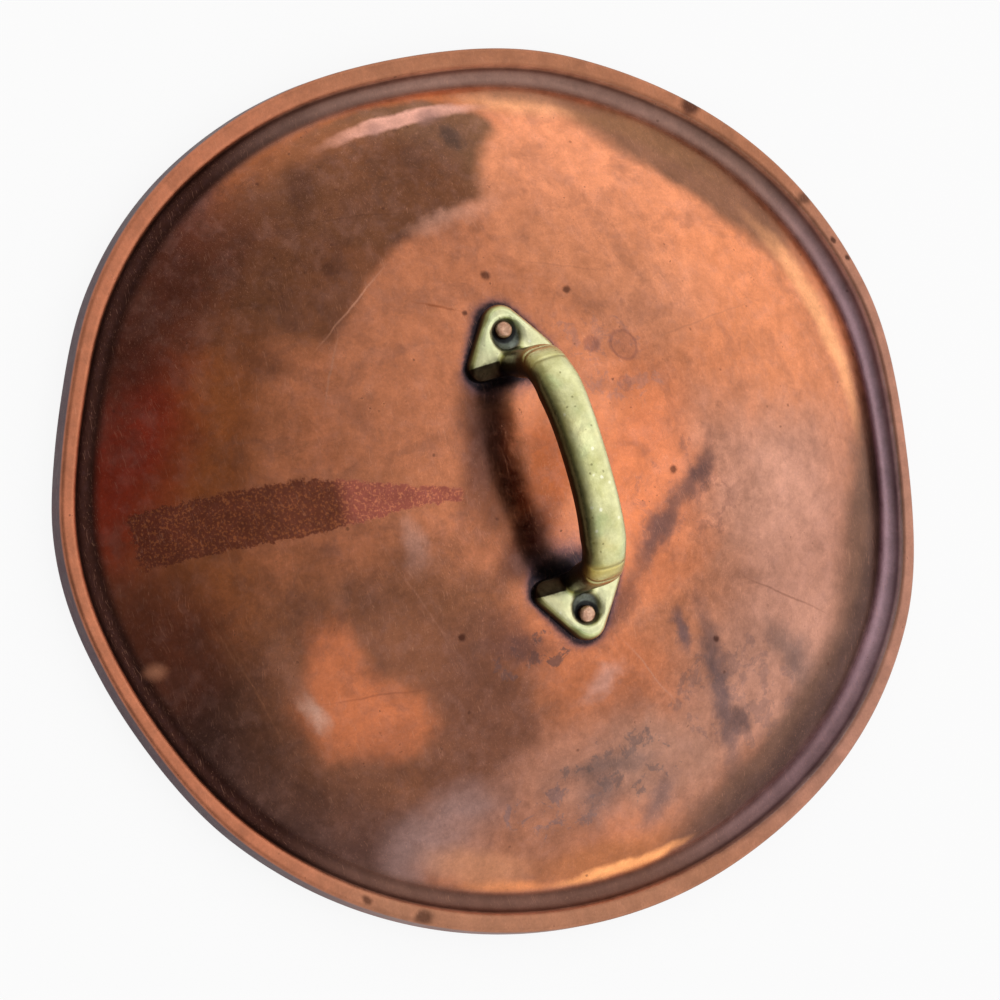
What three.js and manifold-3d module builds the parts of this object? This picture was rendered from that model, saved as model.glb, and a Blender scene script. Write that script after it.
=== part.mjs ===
// Lid of a copper casserole pan, in millimetres with +Z up. One spun copper sheet carries a cast brass
// bridge handle on two copper rivets. The handle runs along X. The origin is at the level of the skirt's
// foot, under the middle of the lid's outline.
import * as THREE from "three";
import { mergeVertices } from "three/addons/utils/BufferGeometryUtils.js";
import Module from "manifold-3d";

// Copper sheet: a domed top, a gutter that drops inside the pan, a flat flange and a turned-down skirt
const sheet_thickness = 1.2;
const flange_radius = 146;
const flange_width = 5;
const skirt_height = 9;
const skirt_flare_degrees = 9;
const gutter_depth = 5;
const gutter_radius = 4;
const gutter_wall_degrees = 78;
const fold_inside_radius = 0.4;
const dome_height = 25;
const dome_edge_degrees = 25.5;

// Wear of the sheet: it has been knocked out of round, by shares of its radius and of the worst knock
const rim_oval_share = 0.012;
const rim_oval_degrees = 64;
const dome_oval_share = 0.0164;
const dome_oval_degrees = 72;
const worst_knock = 3.6;
const knock_reach = 30;
const knocks = [
  { degrees: 79, spread: 24, push_share: -1 },
  { degrees: 120, spread: 34, push_share: 0.5 },
  { degrees: 179, spread: 24, push_share: -0.6 },
  { degrees: 220, spread: 25, push_share: 0.45 },
  { degrees: 246, spread: 15, push_share: -0.33 },
  { degrees: 265, spread: 14, push_share: 0.25 },
  { degrees: 288, spread: 17, push_share: -0.25 },
  { degrees: 43, spread: 28, push_share: 0.4 },
];

// Rivets: the place of each along the handle's line, then the size of its shank, head and closed end
const rivet_spacing = 92;
const handle_off_centre = -0.8;
const shank_radius = 2.75;
const rivet_head_radius = 8;
const rivet_head_height = 2.4;
const rivet_end_height = 4.7;
const rivet_end_round = 0.9;

// Brass handle: two feet on the dome, two legs and an arched grip
const foot_width = 30;
const foot_tip = 8.6;
const foot_base = 13.8;
const foot_thickness = 5.2;
const foot_tip_radius = 6.5;
const foot_corner_radius = 4.5;
const foot_edge_round = 2.6;
const foot_flat = 9.2;
const foot_lip = 1.4;
const bowl_radius = 6.2;
const bowl_depth = 3.2;
const bowl_set_in = 2.4;
const grip_height = 38.5;
const grip_rise = 6;
const grip_width = 13.2;
const grip_thickness = 10;
const shoulder_width = 14.2;
const leg_set_in = 9.8;
const leg_lean = 4.2;
const leg_width = 10.6;
const leg_thickness = 7.6;

// Gaps between pieces, how far a cutter runs past what it cuts, and the fineness of the round shapes
const clearance = 0.3;
const overrun = 2;
const sheet_segments = 72;
const dome_steps = 12;
const arc_steps = 4;
const round_segments = 24;
const edge_steps = 3;
const grip_sides = 20;
const grip_steps = 34;

const wasm = await Module();
wasm.setup();

const radians = THREE.MathUtils.degToRad;

// A closed mesh as a solid: only positions are kept, and shared corners are merged
function solid(geometry) {
  const bare = geometry.clone();
  bare.deleteAttribute("normal");
  bare.deleteAttribute("uv");
  const merged = mergeVertices(bare);
  return new wasm.Manifold(
    new wasm.Mesh({
      numProp: 3,
      vertProperties: merged.attributes.position.array,
      triVerts: new Uint32Array(merged.index.array),
    }),
  );
}

// A solid back as a drawable geometry
function geometryOf(made) {
  const mesh = made.getMesh();
  const geometry = new THREE.BufferGeometry();
  geometry.setAttribute("position", new THREE.BufferAttribute(mesh.vertProperties, 3));
  geometry.setIndex(new THREE.BufferAttribute(mesh.triVerts, 1));
  const flat = geometry.toNonIndexed();
  flat.computeVertexNormals();
  return flat;
}

// A profile of radius and height turned about Z
function turned(profile, segments) {
  return new THREE.LatheGeometry(profile, segments).rotateX(radians(90));
}

// Points along an arc, with angles in degrees from the direction of +r
function arc(centre, radius, from, to, steps) {
  return Array.from({ length: steps + 1 }, (_, i) => {
    const angle = radians(from + ((to - from) * i) / steps);
    return new THREE.Vector2(
      centre.x + radius * Math.cos(angle),
      centre.y + radius * Math.sin(angle),
    );
  });
}

// The gutter's middle: its outer wall meets the flange at the flange's inner edge
const fold_radius = sheet_thickness + fold_inside_radius;
const gutter_level = skirt_height - gutter_depth;
const gutter_wall = radians(gutter_wall_degrees);
const wall_foot_height = gutter_level + gutter_radius * (1 - Math.cos(gutter_wall));
const wall_lean = (skirt_height - wall_foot_height) / Math.tan(gutter_wall);
const flange_inner_radius = flange_radius - flange_width;
const gutter_centre = new THREE.Vector2(
  flange_inner_radius - wall_lean - gutter_radius * Math.sin(gutter_wall),
  gutter_level + gutter_radius,
);

// The dome: its height falls from the apex by a power of the radius, and it meets the gutter at a slope
const dome_edge = radians(dome_edge_degrees);
const dome_radius = gutter_centre.x - gutter_radius * Math.sin(dome_edge);
const dome_edge_level = gutter_centre.y - gutter_radius * Math.cos(dome_edge);
const apex_level = skirt_height + dome_height;
const dome_rise = apex_level - dome_edge_level;
const dome_power = (Math.tan(dome_edge) * dome_radius) / dome_rise;
const domeLevel = (r) => apex_level - dome_rise * (r / dome_radius) ** dome_power;
const domeSlope = (r) => ((dome_power * dome_rise) / dome_radius) * (r / dome_radius) ** (dome_power - 1);

// A line on the dome, from the axis out to a radius, at a depth below its upper face
function domeLine(reach, depth) {
  return Array.from({ length: dome_steps + 1 }, (_, i) => {
    const r = (reach * i) / dome_steps;
    const slope = Math.atan(r > 0 ? domeSlope(r) : 0);
    return new THREE.Vector2(r - depth * Math.sin(slope), domeLevel(r) - depth * Math.cos(slope));
  });
}

// A line through the whole sheet, from the axis to the skirt's foot, at a depth below its upper face
function sheetLine(depth) {
  const flare = radians(skirt_flare_degrees);
  const inner_turn = fold_radius * Math.tan(gutter_wall / 2);
  const outer_turn = fold_radius * Math.tan((Math.PI / 2 - flare) / 2);
  const inner_fold = new THREE.Vector2(flange_inner_radius + inner_turn, skirt_height - fold_radius);
  const outer_fold = new THREE.Vector2(flange_radius - outer_turn, skirt_height - fold_radius);
  const foot_radius = flange_radius + skirt_height * Math.tan(flare);
  const from_dome = -90 - dome_edge_degrees;
  const to_wall = gutter_wall_degrees - 90;
  return [
    ...domeLine(dome_radius, depth),
    ...arc(gutter_centre, gutter_radius + depth, from_dome, to_wall, arc_steps + 2).slice(1),
    ...arc(inner_fold, fold_radius - depth, gutter_wall_degrees + 90, 90, arc_steps - 1),
    ...arc(outer_fold, fold_radius - depth, 90, skirt_flare_degrees, arc_steps - 1),
    new THREE.Vector2(foot_radius - depth / Math.cos(flare), 0),
  ];
}

// How far round a knock a point lies, from 1 at its middle to 0 at its ends
function knockShare(angle, knock) {
  const away = THREE.MathUtils.euclideanModulo(angle - knock.degrees + 180, 360) - 180;
  return Math.abs(away) < knock.spread ? (1 + Math.cos((Math.PI * away) / knock.spread)) / 2 : 0;
}

// Puts the sheet out of round: an oval that differs between dome and rim, and knocks that fade inwards
function outOfRound(geometry) {
  const place = geometry.attributes.position;
  const oval = (turn, share, about) => share * Math.cos(2 * radians(turn - about));
  for (let i = 0; i < place.count; i++) {
    const x = place.getX(i);
    const y = place.getY(i);
    const r = Math.hypot(x, y);
    const turn = THREE.MathUtils.radToDeg(Math.atan2(y, x));
    const rim = THREE.MathUtils.smoothstep(r, flange_inner_radius, flange_radius);
    const fade = THREE.MathUtils.smoothstep(r, flange_radius - knock_reach, flange_radius);
    const stretch = THREE.MathUtils.lerp(
      oval(turn, dome_oval_share, dome_oval_degrees),
      oval(turn, rim_oval_share, rim_oval_degrees),
      rim,
    );
    const push = knocks.reduce((sum, knock) => sum + knock.push_share * knockShare(turn, knock), 0);
    const grown = r > 0 ? 1 + stretch + (fade * worst_knock * push) / r : 1;
    place.setXY(i, x * grown, y * grown);
  }
  return geometry;
}

// Where each rivet stands, and the lean that sets it square to the dome
const rivets = [-1, 1].map((side) => {
  const x = handle_off_centre + (side * rivet_spacing) / 2;
  const r = Math.abs(x);
  const lean = side * Math.atan(domeSlope(r));
  const frame = new THREE.Matrix4().makeRotationY(lean).setPosition(x, 0, domeLevel(r));
  return { side, x, lean, level: domeLevel(r), frame };
});

// A round hole through the sheet or a foot, along a rivet
function rivetHole(rivet) {
  const reach = rivet_head_height + foot_thickness + sheet_thickness + overrun;
  const hole = new THREE.CylinderGeometry(
    shank_radius + clearance,
    shank_radius + clearance,
    2 * reach,
    round_segments,
  ).rotateX(radians(90));
  return solid(hole.applyMatrix4(rivet.frame));
}

// Copper lid, one sheet with two holes for the rivets
function lidBody() {
  const profile = [...sheetLine(sheet_thickness), ...sheetLine(0).reverse()];
  let sheet = solid(outOfRound(turned(profile, sheet_segments)));
  for (const rivet of rivets) sheet = sheet.subtract(rivetHole(rivet));
  return geometryOf(sheet);
}

// Everything below the dome's upper face, raised by the clearance: it cuts the seats of the feet
function domeBelow() {
  const reach = rivet_spacing / 2 + foot_base + foot_tip;
  const line = domeLine(reach, -clearance);
  const floor = domeLevel(reach) - 2 * foot_root - overrun;
  const profile = [new THREE.Vector2(0, floor), new THREE.Vector2(reach, floor), ...line.reverse()];
  return solid(outOfRound(turned(profile, sheet_segments)));
}

// Outline of a foot, seen from above with its tip towards +x: a triangle with rounded corners
function footShape() {
  const corners = [
    { x: foot_tip - foot_tip_radius, y: 0, radius: foot_tip_radius },
    { x: foot_corner_radius - foot_base, y: foot_width / 2 - foot_corner_radius, radius: foot_corner_radius },
    { x: foot_corner_radius - foot_base, y: foot_corner_radius - foot_width / 2, radius: foot_corner_radius },
  ].map((corner) => ({ ...corner, radius: corner.radius - foot_edge_round }));
  const shape = new THREE.Shape();
  corners.forEach((corner, i) => {
    const before = corners[(i + 2) % 3];
    const after = corners[(i + 1) % 3];
    shape.absarc(corner.x, corner.y, corner.radius, tangentAngle(before, corner), tangentAngle(corner, after));
  });
  return shape;
}

// The direction from a circle's centre to where a belt from one circle to the next touches it
function tangentAngle(from, to) {
  const along = Math.atan2(to.y - from.y, to.x - from.x);
  const drop = Math.asin((from.radius - to.radius) / Math.hypot(to.x - from.x, to.y - from.y));
  return along - Math.PI / 2 + drop;
}

// The wedge that slopes the side of a foot under the grip down to a thin lip
function footSlope(rivet) {
  const reach = foot_base + overrun;
  const top = foot_thickness + overrun;
  const outline = new THREE.Shape([
    new THREE.Vector2(-foot_flat, foot_thickness),
    new THREE.Vector2(foot_lip - foot_thickness - foot_flat, foot_lip),
    new THREE.Vector2(-reach, foot_lip),
    new THREE.Vector2(-reach, top),
    new THREE.Vector2(-foot_flat, top),
  ]);
  const wedge = new THREE.ExtrudeGeometry(outline, { depth: foot_width, bevelEnabled: false });
  wedge.translate(0, 0, -foot_width / 2).rotateX(radians(90));
  if (rivet.side < 0) wedge.rotateZ(Math.PI);
  return solid(wedge.applyMatrix4(rivet.frame));
}

// One foot: a rounded plate that stands into the dome, before its seat is cut
const foot_root = foot_edge_round + overrun;
function foot(rivet) {
  const plate = new THREE.ExtrudeGeometry(footShape(), {
    depth: foot_thickness + foot_root - 2 * foot_edge_round,
    bevelThickness: foot_edge_round,
    bevelSize: foot_edge_round,
    bevelSegments: edge_steps,
    curveSegments: round_segments / 3,
  }).translate(0, 0, foot_edge_round - foot_root);
  if (rivet.side < 0) plate.rotateZ(Math.PI);
  return solid(plate.applyMatrix4(rivet.frame)).subtract(footSlope(rivet));
}

// The dished hollow round a rivet's closed end
function bowl(rivet) {
  const ball_radius = (bowl_radius ** 2 + bowl_depth ** 2) / (2 * bowl_depth);
  const ball = new THREE.SphereGeometry(ball_radius, round_segments, round_segments / 2);
  ball.translate(-rivet.side * bowl_set_in, 0, foot_thickness - bowl_depth + ball_radius);
  return solid(ball.applyMatrix4(rivet.frame));
}

// The line that the grip and legs follow, from foot to foot
function gripLine() {
  const seat = rivets[0].level;
  const crown = seat + grip_height;
  const shoulder = crown - grip_rise;
  const leg_reach = rivet_spacing / 2 - leg_set_in;
  const shoulder_reach = leg_reach - leg_lean;
  const knee_share = 0.45;
  const haunch_share = 0.25;
  const half = [
    [leg_reach, seat - overrun],
    [leg_reach - leg_lean * knee_share, THREE.MathUtils.lerp(seat, shoulder, knee_share)],
    [shoulder_reach, shoulder - grip_thickness / 2],
    [shoulder_reach - grip_thickness / 2, shoulder],
    [shoulder_reach / 2, crown - grip_rise * haunch_share],
  ];
  const left = half.map(([x, z]) => new THREE.Vector3(handle_off_centre - x, 0, z));
  const right = half.map(([x, z]) => new THREE.Vector3(handle_off_centre + x, 0, z)).reverse();
  return new THREE.CatmullRomCurve3([...left, new THREE.Vector3(handle_off_centre, 0, crown), ...right]);
}

// Grip and legs: a soft-cornered section carried along the line, widest at the shoulders and narrow at the feet
function grip() {
  const line = gripLine();
  const tube = new THREE.CylinderGeometry(1, 1, 1, grip_sides, grip_steps);
  const place = tube.attributes.position;
  const corner_power = 0.78;
  const taper_share = 0.22;
  const shoulder_share = 0.27;
  const swell_share = 0.11;
  const soft = (value) => Math.sign(value) * Math.abs(value) ** corner_power;
  for (let i = 0; i < place.count; i++) {
    const along = THREE.MathUtils.clamp(place.getY(i) + 0.5, 0, 1);
    const centre = line.getPointAt(along);
    const tangent = line.getTangentAt(along);
    const out = new THREE.Vector3(-tangent.z, 0, tangent.x);
    const from_foot = Math.min(along, 1 - along);
    const drop = 1 - THREE.MathUtils.smoothstep(from_foot, 0, taper_share);
    const swell = Math.exp(-(((from_foot - shoulder_share) / swell_share) ** 2));
    const grown = THREE.MathUtils.lerp(grip_width, leg_width, drop) + (shoulder_width - grip_width) * swell;
    const width = grown / 2;
    const depth = THREE.MathUtils.lerp(grip_thickness, leg_thickness, drop) / 2;
    centre.addScaledVector(out, soft(place.getZ(i)) * depth);
    place.setXYZ(i, centre.x, -soft(place.getX(i)) * width, centre.z);
  }
  return solid(tube);
}

// Cast handle in one piece: grip, legs and feet, seated on the dome and bored for the rivets
function handle() {
  let brass = grip();
  for (const rivet of rivets) brass = brass.add(foot(rivet));
  for (const rivet of rivets) brass = brass.subtract(bowl(rivet)).subtract(rivetHole(rivet));
  return geometryOf(brass.subtract(domeBelow()));
}

// One rivet on its own axis: a low round head under the sheet, a shank, and the end closed in the bowl
function rivetBody() {
  const head_top = -sheet_thickness - clearance;
  const head_low = head_top - rivet_head_height;
  const head_ball = (rivet_head_radius ** 2 + rivet_head_height ** 2) / (2 * rivet_head_height);
  const head_half = THREE.MathUtils.radToDeg(Math.asin(rivet_head_radius / head_ball));
  const head_centre = new THREE.Vector2(0, head_low + head_ball);
  const end_corner = new THREE.Vector2(shank_radius - rivet_end_round, rivet_end_height - rivet_end_round);
  const profile = [
    ...arc(head_centre, head_ball, -90, head_half - 90, arc_steps + 2),
    new THREE.Vector2(shank_radius, head_top),
    ...arc(end_corner, rivet_end_round, 0, 90, arc_steps - 1),
    new THREE.Vector2(0, rivet_end_height),
  ];
  profile[0].x = 0;
  return turned(profile, round_segments);
}

// Finishes
const copper = new THREE.MeshStandardMaterial({ color: 0xb5683f, roughness: 0.38, metalness: 1 });
const brass = new THREE.MeshStandardMaterial({ color: 0xb9a860, roughness: 0.4, metalness: 1 });
const rivet_copper = new THREE.MeshStandardMaterial({ color: 0xb0694a, roughness: 0.5, metalness: 1 });

function part(name, geometry, material) {
  const mesh = new THREE.Mesh(geometry, material);
  mesh.name = name;
  return mesh;
}

// The lid put together, and moved so that the middle of its outline is over the origin
const lid = new THREE.Group();
const body = part("lid_body", lidBody(), copper);
lid.add(body, part("handle", handle(), brass));
rivets.forEach((rivet, i) => {
  const mesh = part(`handle_rivet_${i + 1}`, rivetBody(), rivet_copper);
  mesh.position.set(rivet.x, 0, rivet.level);
  mesh.rotation.y = rivet.lean;
  lid.add(mesh);
});
const middle = new THREE.Box3().setFromObject(body).getCenter(new THREE.Vector3());
lid.position.set(-middle.x, -middle.y, 0);

export default lid;
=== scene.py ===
import math

import bpy
import numpy as np
from mathutils import Matrix, Vector


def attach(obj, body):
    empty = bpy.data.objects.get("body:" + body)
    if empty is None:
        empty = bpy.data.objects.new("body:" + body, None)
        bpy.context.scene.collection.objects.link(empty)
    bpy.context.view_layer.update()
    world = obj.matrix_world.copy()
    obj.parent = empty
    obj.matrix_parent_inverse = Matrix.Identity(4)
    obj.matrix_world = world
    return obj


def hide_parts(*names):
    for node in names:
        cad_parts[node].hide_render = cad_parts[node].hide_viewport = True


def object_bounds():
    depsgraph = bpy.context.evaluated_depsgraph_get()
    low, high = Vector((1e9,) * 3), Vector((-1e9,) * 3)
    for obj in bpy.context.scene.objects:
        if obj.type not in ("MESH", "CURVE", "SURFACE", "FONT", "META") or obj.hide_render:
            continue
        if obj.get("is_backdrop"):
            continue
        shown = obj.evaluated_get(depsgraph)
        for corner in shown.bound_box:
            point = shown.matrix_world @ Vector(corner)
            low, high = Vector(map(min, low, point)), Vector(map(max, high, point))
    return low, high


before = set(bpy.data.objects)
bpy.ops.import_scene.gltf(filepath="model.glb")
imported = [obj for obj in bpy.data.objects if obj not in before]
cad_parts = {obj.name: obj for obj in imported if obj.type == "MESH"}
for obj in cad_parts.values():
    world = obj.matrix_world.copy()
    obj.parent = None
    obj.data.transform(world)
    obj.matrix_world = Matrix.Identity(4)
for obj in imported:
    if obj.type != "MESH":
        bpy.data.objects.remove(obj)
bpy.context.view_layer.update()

# Lengths are in millimetres, and angles in degrees, until a mesh is made
MM = 0.001

# Copper sheet: a domed top, a gutter that drops inside the pan, a flat flange and a turned-down skirt
SHEET_THICKNESS = 1.2
FLANGE_RADIUS = 146
FLANGE_WIDTH = 5
SKIRT_HEIGHT = 9
SKIRT_FLARE = 9
GUTTER_DEPTH = 5
GUTTER_RADIUS = 4
GUTTER_WALL = 78
FOLD_RADIUS = 1.6
DOME_HEIGHT = 25
DOME_EDGE = 25.5

# Fineness of the sheet's mesh: steps over the dome, an arc, the gutter's wall and the flange, and round it
DOME_STEPS, ARC_STEPS = 96, 10
UNDER_DOME_STEPS, UNDER_ARC_STEPS = 30, 5
WALL_STEPS, FLANGE_STEPS = 2, 5
STEP_CROWDING = 0.9
AROUND = 400

# Wear of the sheet: it has been knocked out of round
RIM_OVAL_SHARE = 0.012
RIM_OVAL_ABOUT = 64
DOME_OVAL_SHARE = 0.0164
DOME_OVAL_ABOUT = 72
WORST_KNOCK = 3.6
KNOCK_REACH = 30
KNOCKS = np.array([  # the middle, the spread to each side, and the share of the worst knock
    (79, 24, -1), (120, 34, 0.5), (179, 24, -0.6), (220, 25, 0.45),
    (246, 15, -0.33), (265, 14, 0.25), (288, 17, -0.25), (43, 28, 0.4),
])
TO_MIDDLE = (1.068, -1.036, 0)  # from the dome's axis to the middle of the lid's outline

# Rivets and the brass handle
RIVET_SPACING = 92
HANDLE_OFF_CENTRE = -0.8
SHANK_RADIUS = 2.75
RIVET_HEAD_RADIUS = 8
RIVET_HEAD_HEIGHT = 2.4
RIVET_END_HEIGHT = 4.7
RIVET_END_ROUND = 1.2
RIVET_GAP = 0.3
BEATEN_HEIGHT = 0.1
FOOT_WIDTH = 30
FOOT_TIP = 8.6
FOOT_BASE = 13.8
FOOT_THICKNESS = 5.2
FOOT_TIP_RADIUS = 6.5
FOOT_CORNER_RADIUS = 4.5
FOOT_EDGE_ROUND = 3.1
FOOT_ROOT = 4.6
FOOT_FLAT = 9.2
FOOT_SLOPE = 1.05
FOOT_SLOPE_BLEND = 2.2
FOOT_LIP = 1.4
FOOT_PILLOW = 1.3
BOWL_RADIUS = 6.2
BOWL_DEPTH = 3.2
BOWL_SET_IN = 2.4
BOWL_BLEND = 1.8
GRIP_HEIGHT = 38.5
GRIP_RISE = 6
GRIP_WIDTH = 13.2
GRIP_THICKNESS = 10
SHOULDER_WIDTH = 14.2
LEG_SET_IN = 9.8
LEG_LEAN = 4.2
LEG_WIDTH = 10.6
LEG_THICKNESS = 7.6

# The grip's section, and shares of its line's length: where the shoulders are widest, how far that spreads
# and where the legs end. Shares of its height: a leg's knee, and the grip's fall half way to the shoulder
SECTION_POWER = 0.78
SWELL_AT_SHARE = 0.27
SWELL_SPREAD_SHARE = 0.11
LEG_SHARE = 0.22
KNEE_SHARE = 0.45
GRIP_FALL_SHARE = 0.25

# Fineness of the other meshes
GRIP_STEPS, GRIP_AROUND = 200, 64
SPAN_STEPS = 60
FOOT_AROUND = 160
EDGE_RINGS, TOP_RINGS = 10, 40
FIRST_BOWL_RING = 9
BELT_DIRECTIONS = 1440
LEAST_DOT = 0.02
RIVET_AROUND = 72
HEAD_STEPS, SHANK_STEPS, CLOSE_STEPS = 18, 5, 8
VOXEL = 0.36


def unit_step(value, low, high):
    """A smooth rise from 0 at low to 1 at high: t squared times (3 - 2t)"""
    t = np.clip((value - low) / (high - low), 0, 1)
    return t * t * (3 - 2 * t)


def arc(middle, radius, start, end, steps):
    """Points (radius, height) at equal angles along a circle, from the direction of +r"""
    turn = np.radians(np.linspace(start, end, steps + 1))
    return np.stack([middle[0] + radius * np.cos(turn), middle[1] + radius * np.sin(turn)], 1)


# Derived places of the sheet's line
wall = math.radians(GUTTER_WALL)
flare = math.radians(SKIRT_FLARE)
flange_inner = FLANGE_RADIUS - FLANGE_WIDTH
gutter_level = SKIRT_HEIGHT - GUTTER_DEPTH
wall_foot = gutter_level + GUTTER_RADIUS * (1 - math.cos(wall))
gutter_middle = (
    flange_inner - (SKIRT_HEIGHT - wall_foot) / math.tan(wall) - GUTTER_RADIUS * math.sin(wall),
    gutter_level + GUTTER_RADIUS,
)
dome_edge = math.radians(DOME_EDGE)
DOME_RADIUS = gutter_middle[0] - GUTTER_RADIUS * math.sin(dome_edge)
APEX = SKIRT_HEIGHT + DOME_HEIGHT
DOME_RISE = APEX - (gutter_middle[1] - GUTTER_RADIUS * math.cos(dome_edge))
DOME_POWER = math.tan(dome_edge) * DOME_RADIUS / DOME_RISE


def dome_level(r):
    """The dome's height: it falls from the apex by a power of the radius"""
    return APEX - DOME_RISE * (r / DOME_RADIUS) ** DOME_POWER


def dome_slope(r):
    """How steeply the dome falls at a radius"""
    return DOME_POWER * DOME_RISE / DOME_RADIUS * (r / DOME_RADIUS) ** (DOME_POWER - 1)


def sheet_line(depth, dome_steps, arc_steps):
    """Half section of the sheet, (radius, height) from the axis to the skirt's foot, at a depth under its
    upper face: the dome moved along its normals, the gutter's arc, the two folds' arcs, and straight lines
    between"""
    r = DOME_RADIUS * np.linspace(0, 1, dome_steps + 1) ** STEP_CROWDING
    lean = np.arctan(dome_slope(r))
    dome = np.stack([r - depth * np.sin(lean), dome_level(r) - depth * np.cos(lean)], 1)
    fold_level = SKIRT_HEIGHT - FOLD_RADIUS
    inner_fold = (flange_inner + FOLD_RADIUS * math.tan(wall / 2), fold_level)
    outer_fold = (FLANGE_RADIUS - FOLD_RADIUS * math.tan((math.pi / 2 - flare) / 2), fold_level)
    gutter = arc(gutter_middle, GUTTER_RADIUS + depth, -90 - DOME_EDGE, GUTTER_WALL - 90, 2 * arc_steps)
    inner = arc(inner_fold, FOLD_RADIUS - depth, GUTTER_WALL + 90, 90, arc_steps)
    outer = arc(outer_fold, FOLD_RADIUS - depth, 90, SKIRT_FLARE, arc_steps)
    foot = np.array([FLANGE_RADIUS + SKIRT_HEIGHT * math.tan(flare) - depth / math.cos(flare), 0.0])
    between = lambda a, b, steps: a + (b - a) * np.linspace(0, 1, steps + 1)[1:-1, None]
    return np.concatenate([
        dome, gutter[1:], between(gutter[-1], inner[0], WALL_STEPS), inner,
        between(inner[-1], outer[0], FLANGE_STEPS), outer, between(outer[-1], foot, arc_steps), foot[None],
    ])


def out_of_round(points):
    """Stretches each point from the axis: an oval that differs between dome and rim, and knocks that fade
    inwards"""
    x, y = points[..., 0], points[..., 1]
    r = np.hypot(x, y)
    turn = np.degrees(np.arctan2(y, x))
    oval = lambda share, about: share * np.cos(2 * np.radians(turn - about))
    rim = unit_step(r, flange_inner, FLANGE_RADIUS)
    fade = unit_step(r, FLANGE_RADIUS - KNOCK_REACH, FLANGE_RADIUS)
    stretch = oval(DOME_OVAL_SHARE, DOME_OVAL_ABOUT) * (1 - rim)
    stretch += oval(RIM_OVAL_SHARE, RIM_OVAL_ABOUT) * rim
    away = np.abs((turn[..., None] - KNOCKS[:, 0] + 180) % 360 - 180) / KNOCKS[:, 1]
    push = (np.where(away < 1, (1 + np.cos(np.pi * away)) / 2, 0) * KNOCKS[:, 2]).sum(-1)
    grown = 1 + stretch + fade * WORST_KNOCK * push / np.maximum(r, 1)
    return np.concatenate([points[..., :2] * grown[..., None], points[..., 2:]], -1)


def ripples(x, y, count, shortest, longest, seed):
    """Gentle unevenness of beaten metal: a sum of count plane waves of random heading, length and phase,
    scaled to run from about -1 to 1"""
    luck = np.random.default_rng(seed)
    heading = luck.uniform(0, 2 * np.pi, count)
    length = luck.uniform(shortest, longest, count)
    phase = luck.uniform(0, 2 * np.pi, count)
    total = np.zeros_like(x)
    for h, l, p in zip(heading, length, phase):
        total += np.sin(2 * np.pi * (x * np.cos(h) + y * np.sin(h)) / l + p)
    return total / math.sqrt(count)


def make_piece(name, points, faces, stands_for):
    """A mesh in metres, from the middle of the lid's outline and smooth all over, that rides on the one body
    and stands for a solid of the frame"""
    mesh = bpy.data.meshes.new(name)
    mesh.from_pydata(((points - TO_MIDDLE) * MM).tolist(), [], faces)
    mesh.update()
    mesh.polygons.foreach_set("use_smooth", np.ones(len(mesh.polygons), bool))
    piece = bpy.data.objects.new(name, mesh)
    bpy.context.scene.collection.objects.link(piece)
    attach(piece, "root")
    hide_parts(stands_for)
    return piece


def spun(line, around):
    """A line of (radius, height) turned about the axis, as rows of points: (steps, around, 3)"""
    turn = np.linspace(0, 2 * np.pi, around, endpoint=False)
    return np.stack([
        line[:, None, 0] * np.cos(turn), line[:, None, 0] * np.sin(turn),
        np.broadcast_to(line[:, None, 1], (len(line), around)),
    ], -1)


def skin(rows, first_pole, last_pole):
    """A closed skin: rows is (steps, around, 3), and a point closes each end. Gives points and faces"""
    steps, around = rows.shape[:2]
    points = np.concatenate([[first_pole], rows.reshape(-1, 3), [last_pole]])
    here = 1 + np.arange(steps * around).reshape(steps, around)
    after = np.roll(here, -1, 1)
    quads = np.stack([here[:-1], here[1:], after[1:], after[:-1]], -1).reshape(-1, 4)
    top = np.stack([np.zeros(around, int), here[0], after[0]], -1)
    end = np.stack([np.full(around, len(points) - 1), after[-1], here[-1]], -1)
    return points, quads.tolist() + top.tolist() + end.tolist()


def give(mesh, name, values):
    """Stores one number for each point of a mesh"""
    mesh.attributes.new(name, "FLOAT", "POINT").data.foreach_set("value", np.asarray(values, np.float32))


# The camera: high over the lid's -Y side, turned so that the handle runs down the picture
CAMERA_LENS = 82.4
CAMERA_AZIMUTH = -2.07
CAMERA_ELEVATION = 70.0
CAMERA_ROLL = 75.6
CAMERA_DISTANCE = 740
CAMERA_AIM = (2.83, -6.81, 9)

azimuth = math.radians(CAMERA_AZIMUTH)
elevation = math.radians(CAMERA_ELEVATION)
roll = math.radians(CAMERA_ROLL)
back = Vector((
    math.sin(azimuth) * math.cos(elevation), -math.cos(azimuth) * math.cos(elevation), math.sin(elevation),
))
level_right = Vector((math.cos(azimuth), math.sin(azimuth), 0))
level_up = back.cross(level_right)
picture_right = level_right * math.cos(roll) + level_up * math.sin(roll)
picture_up = level_up * math.cos(roll) - level_right * math.sin(roll)
camera = bpy.data.objects.new("camera", bpy.data.cameras.new("camera"))
camera.data.lens = CAMERA_LENS
camera.data.sensor_width = 36
camera.data.clip_start = 0.05
camera.data.clip_end = 60
camera.matrix_world = Matrix((picture_right, picture_up, back)).transposed().to_4x4()
camera.location = (Vector(CAMERA_AIM) + back * CAMERA_DISTANCE) * MM
bpy.context.scene.collection.objects.link(camera)
bpy.context.scene.camera = camera

# Where each rivet stands, and the lean that sets it square to the dome
rivet_at = [HANDLE_OFF_CENTRE + side * RIVET_SPACING / 2 for side in (-1, 1)]
rivet_lean = [side * math.atan(dome_slope(abs(at))) for side, at in zip((-1, 1), rivet_at)]
rivet_level = [dome_level(abs(at)) for at in rivet_at]


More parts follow.
